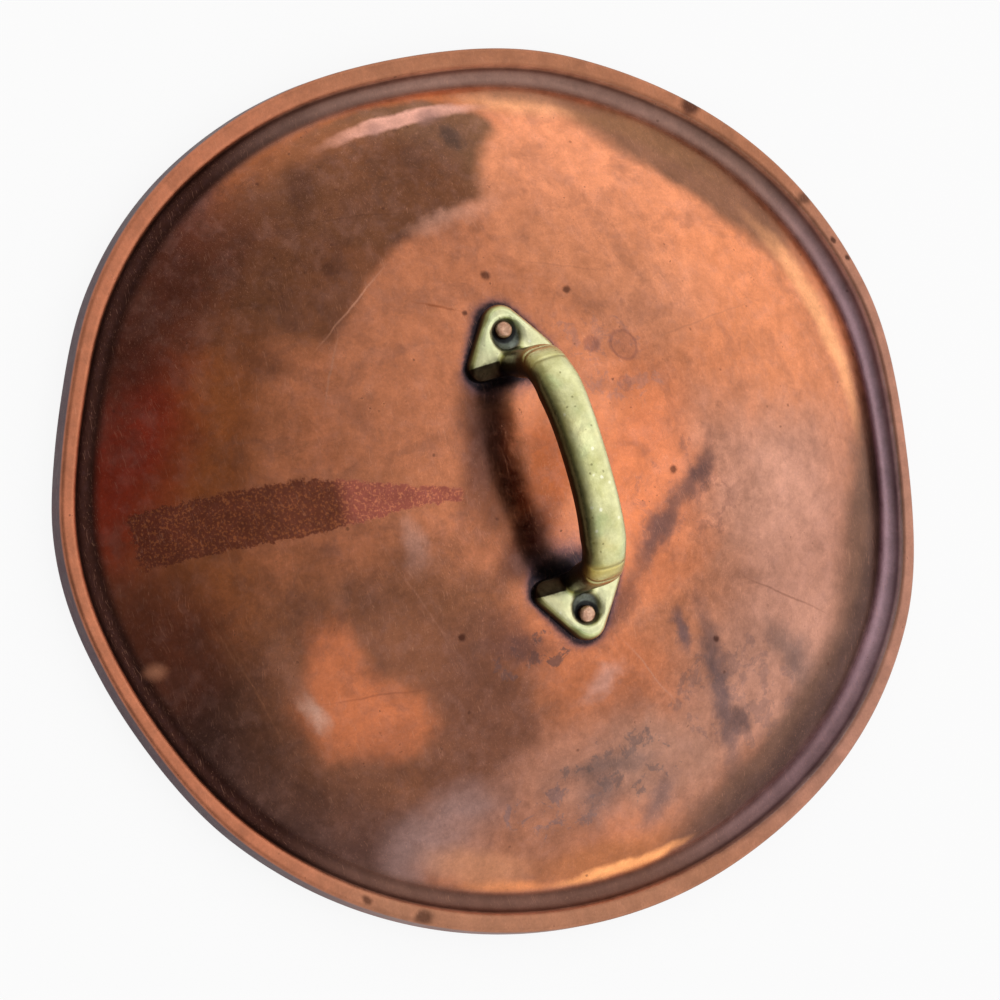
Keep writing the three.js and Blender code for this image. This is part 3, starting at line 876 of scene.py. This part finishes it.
# Painted shadow and reflection of the grip: a dark band beside and under it, with edges that keep their
# place: the same
GRIP_SHADOW_PAINT = [
    ((-26, -13), (8, 17), 71, 0.6, (82, 52, 42), 0.85),
    ((-10, -18), (6, 17), 59, 0.7, (84, 52, 42), 0.85),
    ((3, -16), (5.5, 14), 53, 0.7, (92, 56, 42), 0.8),
    ((17, -11), (6.5, 13), 43, 0.6, (84, 50, 40), 0.85),
    ((26, -8), (10, 6), 74, 0.6, (66, 46, 44), 0.8),
]
steady = board.warp(spot, 9, 4)
for row in GRIP_SHADOW_PAINT:
    tone = board.patch(tone, steady, *row)

# Haze of old tarnish: two noises turn the tone pinker and greyer in patches
haze = board.rise(board.noise(spot, 6, 8, 0.66, 0.3), 0.46, 0.66)
tone = board.lay(tone, (176, 130, 118), haze, 0.13)
haze = board.rise(board.noise(spot, 15, 8, 0.62, 0.5), 0.5, 0.6)
tone = board.lay(tone, (112, 76, 64), haze, 0.22)

# Crumbled grey flakes: inside a zone, a noise over a level that rises towards the zone's edge
FLAKES = [
    ((52, -19), (20, 9), 97, (118, 84, 76), 0.8),
    ((98, 3), (28, 13), 72, (118, 94, 88), 0.7),
    ((20, 48), (26, 20), 75, (136, 92, 80), 0.4),
    ((85, 52), (32, 22), 73, (124, 94, 88), 0.45),
    ((-111, -9), (26, 20), 76, (92, 64, 52), 0.3),
    ((-29, 38), (24, 22), 77, (160, 112, 98), 0.5),
    ((106, -20), (22, 12), 72, (126, 100, 98), 0.6),
    ((-96, -58), (30, 34), 74, (84, 52, 40), 0.3),
]
flaky = board.noise(spot, 8, 9, 0.7, 0.4)
for middle, size, lean, shade, strength in FLAKES:
    level = board.rise(board.zone(warped, middle, size, lean, 0.7), 0, 1, -0.3, 0)
    tone = board.lay(tone, shade, board.rise(board.plus(flaky, level), 0.5, 0.56), strength)

# Ragged tarnish stains on the dome: the same as the broad tones
STAINS = [
    ((83, 44), (3.2, 26), 92, 0.7, (104, 82, 80), 0.85),
    ((94, 50), (3.4, 5.4), 99, 0.6, (78, 62, 62), 0.8),
    ((60, 34), (2.4, 7), 91, 0.7, (104, 84, 86), 0.8),
    ((78, 73), (11, 4), 24, 0.8, (116, 90, 82), 0.7),
    ((83, 78), (5, 8), 89, 0.8, (112, 88, 82), 0.6),
    ((111, 15), (4, 9), 55, 0.8, (112, 88, 84), 0.7),
    ((94, 0), (13, 3), 83, 0.8, (114, 92, 86), 0.7),
    ((104, -6), (6, 8), 72, 0.8, (122, 98, 92), 0.6),
    ((22, 40), (3.2, 25), 40, 0.7, (108, 76, 68), 0.75),
    ((26, 33), (4.2, 9), 40, 0.7, (92, 66, 62), 0.7),
    ((13, 55), (3.4, 8), 41, 0.7, (86, 64, 62), 0.8),
    ((46, 12), (10, 4), 116, 0.8, (96, 62, 54), 0.7),
    ((49, -22), (9, 4), 70, 0.8, (96, 66, 60), 0.8),
    ((40, -27), (9, 5), 55, 0.8, (112, 74, 62), 0.6),
    ((-115, 11), (3, 4), 97, 0.6, (72, 56, 50), 0.75),
    ((-109, -43), (4, 10), 74, 0.8, (82, 52, 40), 0.6),
    ((-82, -44), (3, 2.5), 74, 0.7, (76, 48, 38), 0.6),
    ((-85, -19), (3, 2), 75, 0.7, (72, 46, 38), 0.6),
    ((-58, -72), (9, 4), 70, 0.9, (96, 58, 42), 0.5),
]

# Pale rubbed places: the same
RUBBED = [
    ((67, 3), (7.5, 3), 111, 0.8, (206, 154, 138), 0.7),
    ((39, -91), (14, 3), 17, 0.9, (160, 108, 86), 0.5),
    ((50, -88), (4.5, 2.6), 24, 0.9, (214, 168, 148), 0.7),
    ((8, -46), (3.5, 7), 88, 0.8, (196, 146, 128), 0.6),
    ((-88, -1), (13, 3), 96, 0.8, (206, 150, 128), 0.55),
]
for row in STAINS + RUBBED:
    tone = board.patch(tone, ragged, *row)

# Hairlines worn into the dome: middle, half length, heading, colour and strength
HAIRLINE_HALF_WIDTH = 0.3
HAIRLINES = [
    ((60, 77), 16, 55, (112, 72, 58), 0.5), ((-69, -41), 13, 125, (206, 146, 118), 0.6),
    ((-50, -54), 10, 154, (196, 136, 108), 0.6), ((37, -104), 21, 16, (150, 98, 72), 0.5),
    ((50, -68), 13, 81, (130, 72, 52), 0.35), ((-61, -16), 6, 63, (150, 82, 50), 0.7),
    ((25, -106), 15, 14, (140, 88, 62), 0.5), ((25, -49), 19, 20, (180, 126, 104), 0.2),
    ((-35, 72), 21, 94, (176, 116, 88), 0.4), ((-96, -30), 17, 80, (92, 58, 42), 0.4),
    ((-64, 30), 14, 72, (170, 110, 82), 0.4), ((70, 20), 12, 30, (196, 146, 126), 0.35),
]
bent = board.warp(spot, 30, 5)
for middle, length, lean, shade, strength in HAIRLINES:
    tone = board.patch(tone, bent, middle, (length, HAIRLINE_HALF_WIDTH), lean, 0.8, shade, strength)

# Tones that follow the rim, partly tarnish and partly painted highlights and reflections: degrees round the
# lid, length along the section, reach, soft edge, colour and strength
RIM_TONES_AND_HIGHLIGHTS = [
    (132, 130, (52, 11), 0.3, (120, 82, 62), 0.95),
    (143, 134, (34, 6), 0.5, (128, 88, 62), 0.9),
    (162, 133.5, (19, 6), 0.6, (226, 158, 114), 0.8),
    (101, 128, (36, 3.5), 0.7, (238, 166, 116), 0.85),
    (76, 134, (34, 7), 0.6, (112, 78, 62), 0.8),
    (67, 132.5, (38, 16), 0.4, (106, 76, 62), 0.95),
    (34, 133.5, (66, 12.5), 0.4, (98, 71, 59), 0.95),
    (46, 137.5, (92, 8), 0.5, (80, 58, 52), 0.95),
    (357, 131, (26, 6), 0.6, (164, 102, 66), 0.8),
    (0, 136.4, (22, 2.4), 0.5, (244, 164, 106), 1),
    (342, 136.6, (14, 2.6), 0.6, (214, 134, 86), 0.8),
    (336, 130, (18, 6), 0.6, (196, 134, 100), 0.7),
    (182, 129.6, (29, 2.8), 0.35, (210, 154, 136), 0.95),
    (177, 128, (5, 3), 0.7, (136, 100, 92), 0.7),
    (186, 128.5, (3, 2.4), 0.7, (150, 110, 100), 0.6),
    (160, 136, (24, 4), 0.6, (112, 76, 62), 0.7),
    (196, 132, (20, 5), 0.7, (150, 92, 60), 0.6),
]
for degrees, along, size, soft, shade, strength in RIM_TONES_AND_HIGHLIGHTS:
    tone = board.patch(tone, rim_warped, at_rim(degrees, along), size, 0, soft, shade, strength)

# Rim sides with their own painted reflections and shade, named with the handle upright: degrees, reach, soft
# edge
RIM_MIDDLE = 148
left_side, left_foot, right_side, low_foot = [
    board.zone(rim_warped, at_rim(degrees, RIM_MIDDLE), (reach, 40), 0, soft)
    for degrees, reach, soft in ((262, 165, 0.25), (318, 58, 0.35), (66, 110, 0.4), (345, 70, 0.4))
]
left_side = board.larger(left_side, left_foot)

# Gutter, wall, flange and skirt: where each begins and is full along the section, its plain tone, and its
# tones at the left, right and foot of the lid, which paint the reflections, highlights and shade there
BANDS = [
    (DOME_END - 3, DOME_END + 0.8, (150, 116, 104), (58, 34, 28), (164, 134, 142), (120, 86, 74)),
    (WALL_END - 2, WALL_END - 0.6, (250, 200, 170), (150, 92, 66), (255, 232, 226), (222, 168, 142)),
    (WALL_END - 0.2, WALL_END + 0.9, (176, 118, 88), (196, 124, 92), (178, 128, 108), (178, 124, 96)),
    (FLANGE_END + 1, SKIRT_START, (112, 74, 66), (74, 48, 54), (140, 100, 92), (132, 94, 86)),
]
for begins, full, plain, left, right, low in BANDS:
    shade = board.mix(left_side, colour(*plain), colour(*left))
    shade = board.lay(shade, right, right_side)
    shade = board.lay(shade, low, low_foot)
    tone = board.mix(board.rise(reach_along, begins * MM, full * MM), tone, shade)

# Marks on the rim: a stain, a nick, dots and spots, given as the rim's tones are
MARKS = [
    (137, 152, (3, 4), 0.5, (70, 40, 32), 0.85),
    (117, 151, (2, 3), 0.6, (70, 44, 36), 0.7),
    (110, 150, (1, 1), 0.5, (60, 36, 30), 0.8),
    (107, 152, (1, 1), 0.5, (60, 36, 30), 0.8),
    (30, 143, (46, 5), 0.6, (112, 82, 80), 0.6),
    (330, 151, (2.5, 2), 0.6, (84, 54, 42), 0.8),
    (322, 151, (1.6, 1.2), 0.6, (80, 48, 36), 0.8),
]
for degrees, along, size, soft, shade, strength in MARKS:
    tone = board.patch(tone, rim_warped, at_rim(degrees, along), size, 0, soft, shade, strength)

# A dried smear that runs in from the near rim along +y. Its middle line bends towards +x by the square of the
# way inwards, its half width narrows, and its edge and ends are crumbled
SMEAR_RUN = (-130, -28)
SMEAR_AT = -16
SMEAR_BEND = 13
SMEAR_HALF_WIDTH = (8.8, 2.2)
SMEAR_CRUMBLE = 6
SMEAR_END_CRUMBLE = 10
SMEAR_FIRST_END = (-121, -119)
SMEAR_LAST_END = (-21, -24)
SMEAR_PINKER = (-66, -60)
x, y, _ = board.split(spot)
sockets = {"Value": y, "From Min": SMEAR_RUN[0] * MM, "From Max": SMEAR_RUN[1] * MM}
inwards = board.add("MapRange", sockets).outputs[0]
middle_line = board.plus(board.times(board.calc("POWER", inwards, 2), SMEAR_BEND * MM), SMEAR_AT * MM)
off_line = board.calc("ABSOLUTE", board.less(x, middle_line))
half_width = board.rise(inwards, 0.5, 1.0, SMEAR_HALF_WIDTH[0] * MM, SMEAR_HALF_WIDTH[1] * MM)
crumb = board.noise(spot, 2.2, 4, 0.75)
stir = board.less(crumb, 0.5)
edge_gap = board.plus(board.less(off_line, half_width), board.times(stir, SMEAR_CRUMBLE * MM))
smear = board.rise(edge_gap, 0.3 * MM, -0.3 * MM)
ends = board.plus(y, board.times(crumb, SMEAR_END_CRUMBLE * MM))
for outside, inside in (SMEAR_FIRST_END, SMEAR_LAST_END):
    smear = board.times(smear, board.rise(ends, outside * MM, inside * MM))
pinker = board.rise(y, SMEAR_PINKER[0] * MM, SMEAR_PINKER[1] * MM)
body_tone = board.mix(pinker, colour(102, 52, 40), colour(160, 86, 74))
fleck_tone = board.mix(pinker, colour(150, 86, 54), colour(206, 124, 92))
flecks = board.rise(board.noise(spot, 0.9, 3, 0.7), 0.52, 0.6)
tone = board.mix(board.times(smear, 0.88), tone, board.mix(flecks, body_tone, fleck_tone))

# Blue-black grime and painted shade in the corner round the feet, reaching further under the grip
grime_and_shade = board.plus(board.attribute("near_feet"), board.times(stir, 0.5))
tone = board.lay(tone, (104, 80, 88), board.rise(grime_and_shade, -0.05, 0.55), 0.6)
tone = board.lay(tone, (40, 36, 42), board.rise(grime_and_shade, 0.3, 0.8), 0.95)

# Rings left by drops: middle, reach, turn, width of the line, strength and how full the inside is
RINGS = [
    ((-34, 41), (4.9, 4.3), 30, 0.25, 0.5, 0.5), ((-37, 30), (2.2, 2.2), 0, 0.6, 0.5, 1),
    ((-22, 37), (2.1, 1.9), 0, 0.5, 0.35, 0.7), ((-5, 37), (6.5, 9), 20, 0.1, 0.1, 1),
]
close = board.warp(spot, 2.5, 1.2)
for middle, size, lean, width, strength, filled in RINGS:
    away = board.away(close, middle, size, lean)
    ring_line = board.rise(board.calc("ABSOLUTE", board.less(away, 1)), width, 0)
    inside = board.times(board.rise(away, 1.1, 0.9), filled)
    tone = board.lay(tone, (122, 78, 72), board.larger(ring_line, inside), strength)

# Single dark specks, x, y and reach, and one pale painted glint of a small dent
SPECKS = [
    (-67, 3, 1.5), (-56, 28, 1.2), (40, -39, 1.1), (9, 45, 1.3), (-57, -8, 0.8), (66, 46, 1), (20, 20, 0.8),
]
for x, y, size in SPECKS:
    tone = board.patch(tone, close, (x, y), (size, size), 0, 0.5, (64, 34, 28), 0.75)
tone = board.patch(tone, close, (23.2, -129.3), (2.6, 2.1), 73, 0.9, (206, 138, 106), 0.9)

# Pepper of tiny pits, and dots
tiny = board.noise(spot, 0.8, 3, 0.65)
pits = board.rise(board.noise(spot, 1.7, 2, 0.5), 0.7, 0.76)
pits = board.times(pits, board.rise(mottle, 0.45, 0.6))
tone = board.lay(tone, (70, 42, 34), pits, 0.5)
tone = board.lay(tone, (74, 42, 34), board.dots(board.cells(close, 8), 0.1, 0.04, 0.62), 0.5)

# Hairline scratches in three directions: heading, size of the noise that is drawn out into lines, and the
# level over which it shows
SCRATCHES = ((14, 0.28, 0.655), (-38, 0.22, 0.67), (76, 0.3, 0.66))
DRAWN_OUT = (0.018, 1, 1)
long_bend = board.warp(spot, 50, 14)
drawn = []
for lean, size, level in SCRATCHES:
    sockets = {"Vector": long_bend, "Rotation": (0, 0, math.radians(lean)), "Scale": DRAWN_OUT}
    lines = board.noise(board.add("Mapping", sockets).outputs[0], size, 2, 0.5)
    drawn.append(board.rise(lines, level, level + 0.05))
scratches = board.larger(board.larger(drawn[0], drawn[1]), drawn[2])
tone = board.lay(tone, (232, 170, 140), scratches, 0.16)

# Clouded brightness, roughness and relief
middling = board.noise(spot, 9, 7, 0.65, 0.3)
shade = board.times(board.rise(mottle, 0.25, 0.75, 0.9, 1.1), board.rise(fine, 0.25, 0.75, 0.9, 1.1))
shade = board.times(shade, board.rise(middling, 0.3, 0.7, 0.88, 1.12))
shade = board.times(shade, board.rise(tiny, 0.3, 0.7, 0.95, 1.05))
rough = board.plus(board.rise(mottle, 0.3, 0.7, 0.17, 0.24), board.rise(fine, 0.3, 0.7, -0.03, 0.04))
rough = board.plus(rough, board.rise(reach_along, (DOME_END - 1.5) * MM, (DOME_END + 1) * MM, 0, 0.3))
rough = board.plus(rough, board.times(smear, 0.25))
height = board.plus(board.times(fine, 0.5), board.times(tiny, 0.25))
height = board.less(board.less(height, board.times(scratches, 0.12)), pits)
board.metal(board.scaled(tone, shade), rough, board.bump(height, 0.25, 0.12))

# Inside of the lid: wiped tin with strokes round it, thin enough in places for the copper to show
tin, board = new_finish("wiped_tin")
spot = board.spot()
wipe = board.noise(board.warp(spot, 30, 24), 18, 6, 0.6, 0.6)
fine = board.noise(spot, 2.2, 5, 0.7)
tone = board.mix(board.rise(wipe, 0.35, 0.7), colour(172, 171, 166), colour(122, 118, 112))
x, y, _ = board.split(spot)
far = board.calc("SQRT", board.plus(board.calc("POWER", x, 2), board.calc("POWER", y, 2)))
round_it = board.times(board.calc("ARCTAN2", y, x), 12 * MM)
strokes = board.noise(board.warp(board.join(far, round_it), 12, 3), 1.6, 5, 0.6)
tone = board.lay(tone, (206, 206, 202), board.rise(strokes, 0.5, 0.62), 0.35)
tone = board.lay(tone, (96, 92, 88), board.rise(strokes, 0.45, 0.36), 0.35)
thin = board.plus(board.noise(spot, 11, 8, 0.68), board.rise(far, 118 * MM, 146 * MM, 0, 0.12))
thin = board.rise(thin, 0.62, 0.68)
tone = board.lay(tone, (164, 104, 74), thin, 0.85)
dots = board.dots(board.cells(board.warp(spot, 3, 1.2), 6), 0.12, 0.04, 0.7)
tone = board.lay(tone, (64, 58, 52), dots, 0.6)
tone = board.scaled(tone, board.rise(fine, 0.3, 0.7, 0.92, 1.08))
height = board.plus(board.times(strokes, 0.5), board.times(fine, 0.5))
height = board.less(height, board.times(thin, 0.3))
board.metal(tone, board.rise(wipe, 0.3, 0.7, 0.32, 0.5), board.bump(height, 0.3, 0.1))
lid.data.materials.append(copper)
lid.data.materials.append(tin)

# Handle: cast brass, with tarnish in patches, pits and painted glints
brass, board = new_finish("cast_brass")
spot = board.spot()
cloud = board.noise(spot, 9, 6, 0.6)
fine = board.noise(spot, 1.6, 4, 0.7)
lumps = board.noise(spot, 4.5, 3, 0.55)
stir = board.less(board.noise(spot, 2.0, 4, 0.7), 0.5)
tone = board.mix(board.rise(cloud, 0.3, 0.7), colour(220, 218, 168), colour(192, 190, 132))
tone = board.lay(tone, (170, 192, 138), board.rise(board.noise(spot, 14, 3, 0.5), 0.45, 0.7), 0.6)
yellow = board.rise(board.noise(spot, 11, 3, 0.5, result="Color"), 0.52, 0.72)
tone = board.lay(tone, (226, 204, 136), yellow, 0.4)
cells = board.cells(board.warp(spot, 2, 0.8), 2.6)
pits = board.dots(cells, 0.2, 0.08, 0.5)
tone = board.lay(tone, (104, 100, 60), pits, 0.6)
# Pale dots: painted glints
tone = board.lay(tone, (250, 250, 226), board.dots(cells, 0.3, 0.1, 0.8, channel=1), 0.7)

# Old patina and painted shade on the faces that turn away from the polishing cloth and the key light: darker
# the less a face looks up and towards +y, and palest, a painted highlight, where a face is cleanest and looks
# most that way
up_and_lit = board.plus(board.attribute("polish_and_light"), board.times(stir, 0.2))
tone = board.lay(tone, (126, 116, 62), board.rise(up_and_lit, 0.86, 0.45), 0.8)
tone = board.lay(tone, (64, 48, 26), board.rise(up_and_lit, 0.5, 0.1), 0.9)
tone = board.lay(tone, (126, 92, 62), board.rise(up_and_lit, -0.2, -0.7))
tone = board.lay(tone, (238, 236, 196), board.rise(up_and_lit, 1.0, 1.12), 0.45)

# Painted highlights on the side that faces the key light and on the shoulders, which are also rubbed to gold,
# and painted shade in the crease lines
lit_side = board.attribute("right_face")
tone = board.lay(tone, (232, 230, 186), board.rise(lit_side, 0, 0.6), 0.3)
lit_side = board.rise(board.plus(lit_side, board.times(stir, 0.1)), 0.7, 0.9)
tone = board.lay(tone, (236, 212, 176), lit_side, 0.5)
gold = board.times(board.attribute("gold_and_sheen"), board.rise(cloud, 0.35, 0.6, 0.5, 1))
tone = board.lay(tone, (222, 186, 88), gold, 0.55)
tone = board.lay(tone, (104, 92, 52), board.rise(board.attribute("crease"), 0.3, 1), 0.4)

# Grime and painted shade low on the feet by the dome, painted shade on their sides under the grip, a grey
# tone in the bowls, and painted shadow beside the pegs
low_grime_and_shade = board.plus(board.attribute("above_dome"), board.times(stir, 1.6 * MM))
tone = board.lay(tone, (38, 34, 28), board.rise(low_grime_and_shade, 3.2 * MM, 0.6 * MM))
inner = board.plus(board.attribute("inner_side"), board.times(stir, 0.3))
tone = board.lay(tone, (40, 24, 16), board.rise(inner, 0.15, 0.6), 0.97)
bowl = board.plus(board.attribute("in_bowl"), board.times(stir, 0.5))
bowl_tone = board.mix(board.rise(lumps, 0.4, 0.6), colour(70, 76, 74), colour(112, 120, 118))
tone = board.mix(board.times(board.rise(bowl, 0.2, 1.0), 0.9), tone, bowl_tone)
tone = board.lay(tone, (34, 32, 38), board.rise(board.attribute("peg_shadow"), 0.1, 0.8), 0.85)
tone = board.scaled(tone, board.rise(fine, 0.3, 0.7, 0.93, 1.07))
grain = board.bump(board.less(board.times(fine, 0.5), board.times(pits, 0.5)), 0.4, 0.15)
board.metal(tone, board.rise(cloud, 0.3, 0.7, 0.3, 0.42), board.bump(lumps, 0.5, 0.6, grain))
handle.data.materials.append(brass)

# Rivets: hammered copper, with painted shade below the closed end
peg, board = new_finish("rivet_copper")
spot = board.spot()
cloud = board.noise(spot, 2.5, 5, 0.6)
fine = board.noise(spot, 0.7, 3, 0.6)
tone = board.mix(board.rise(cloud, 0.3, 0.7), colour(214, 174, 148), colour(174, 130, 106))
end_shade = board.plus(board.attribute("from_end"), board.times(board.less(cloud, 0.5), 0.8 * MM))
tone = board.lay(tone, (72, 40, 36), board.rise(end_shade, 0.5 * MM, 1.3 * MM))
tone = board.scaled(tone, board.rise(fine, 0.3, 0.7, 0.9, 1.08))
board.metal(tone, board.rise(cloud, 0.3, 0.7, 0.4, 0.55), board.bump(fine, 0.5, 0.12))
for piece in rivet_pieces:
    piece.data.materials.append(peg)

# Floor, in metres: it glows white to the camera and in mirrors, and is matt to the other light
FLOOR_EDGE = 20.0
GLOW_SHARE = 0.88
corners = [(x * FLOOR_EDGE, y * FLOOR_EDGE, 0) for x, y in ((-1, -1), (1, -1), (1, 1), (-1, 1))]
floor_mesh = bpy.data.meshes.new("floor")
floor_mesh.from_pydata(corners, [], [(0, 1, 2, 3)])
floor = bpy.data.objects.new("floor", floor_mesh)
bpy.context.scene.collection.objects.link(floor)
floor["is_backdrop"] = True
paper, board = new_finish("white_floor")
path = board.add("LightPath").outputs
seen = board.larger(path["Is Camera Ray"], path["Is Glossy Ray"])
seen = board.larger(seen, path["Is Transmission Ray"])
matt = board.add("BsdfDiffuse", {"Color": (0.86, 0.86, 0.87, 1)}).outputs[0]
glow = board.add("Emission", {"Color": (1, 1, 1, 1), "Strength": 1.0}).outputs[0]
blend = board.add("MixShader", {"Fac": board.times(seen, GLOW_SHARE), 1: matt, 2: glow})
board.add("OutputMaterial", {"Surface": blend.outputs[0]})
floor.data.materials.append(paper)

# Room: dimmer over the near side and darkest low there, with a window nearly overhead and a band of light on
# the far side. Each place is the cosine from a heading
NEAR_ABOVE = (0, -0.8, 0.6)
NEAR = (0, -1, 0)
FAR = (0, 1, 0)
WINDOW = (0.368, -0.173, 0.914)
world = bpy.data.worlds.new("studio")
bpy.context.scene.world = world
board = Board(world)
facing = board.add("TexCoord").outputs["Generated"]
dim_side = board.rise(board.dot(facing, NEAR_ABOVE), 0.35, 0.85, 0.92, 0.4)
window = board.rise(board.dot(facing, WINDOW), 0.968, 0.994, 0, 0.45)
low_side = board.rise(board.dot(facing, NEAR), 0.66, 0.86, 1, 0.2)
_, _, height = board.split(facing)
strip = board.times(board.rise(height, 0.03, 0.2), board.rise(height, 0.72, 0.45))
strip = board.times(strip, board.rise(board.dot(facing, FAR), -0.4, 0.15))
level = board.plus(board.times(board.plus(dim_side, window), low_side), board.times(strip, 0.5))
sky = board.add("Background", {"Color": (1, 0.99, 0.98, 1), "Strength": level})
board.add("OutputWorld", {"Surface": sky.outputs[0]})

# Key light, in metres and watts
KEY_FROM = Vector((0.1, 0.8, 1.64))
KEY_POWER = 2.0
KEY_SIZE = 1.1
key = bpy.data.lights.new("key", "AREA")
key.shape = "DISK"
key.energy = KEY_POWER
key.size = KEY_SIZE
lamp = bpy.data.objects.new("key", key)
lamp.location = KEY_FROM
lamp.rotation_mode = "QUATERNION"
lamp.rotation_quaternion = KEY_FROM.to_track_quat("Z", "Y")
bpy.context.scene.collection.objects.link(lamp)
bpy.context.scene.view_settings.view_transform = "Standard"

low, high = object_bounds()
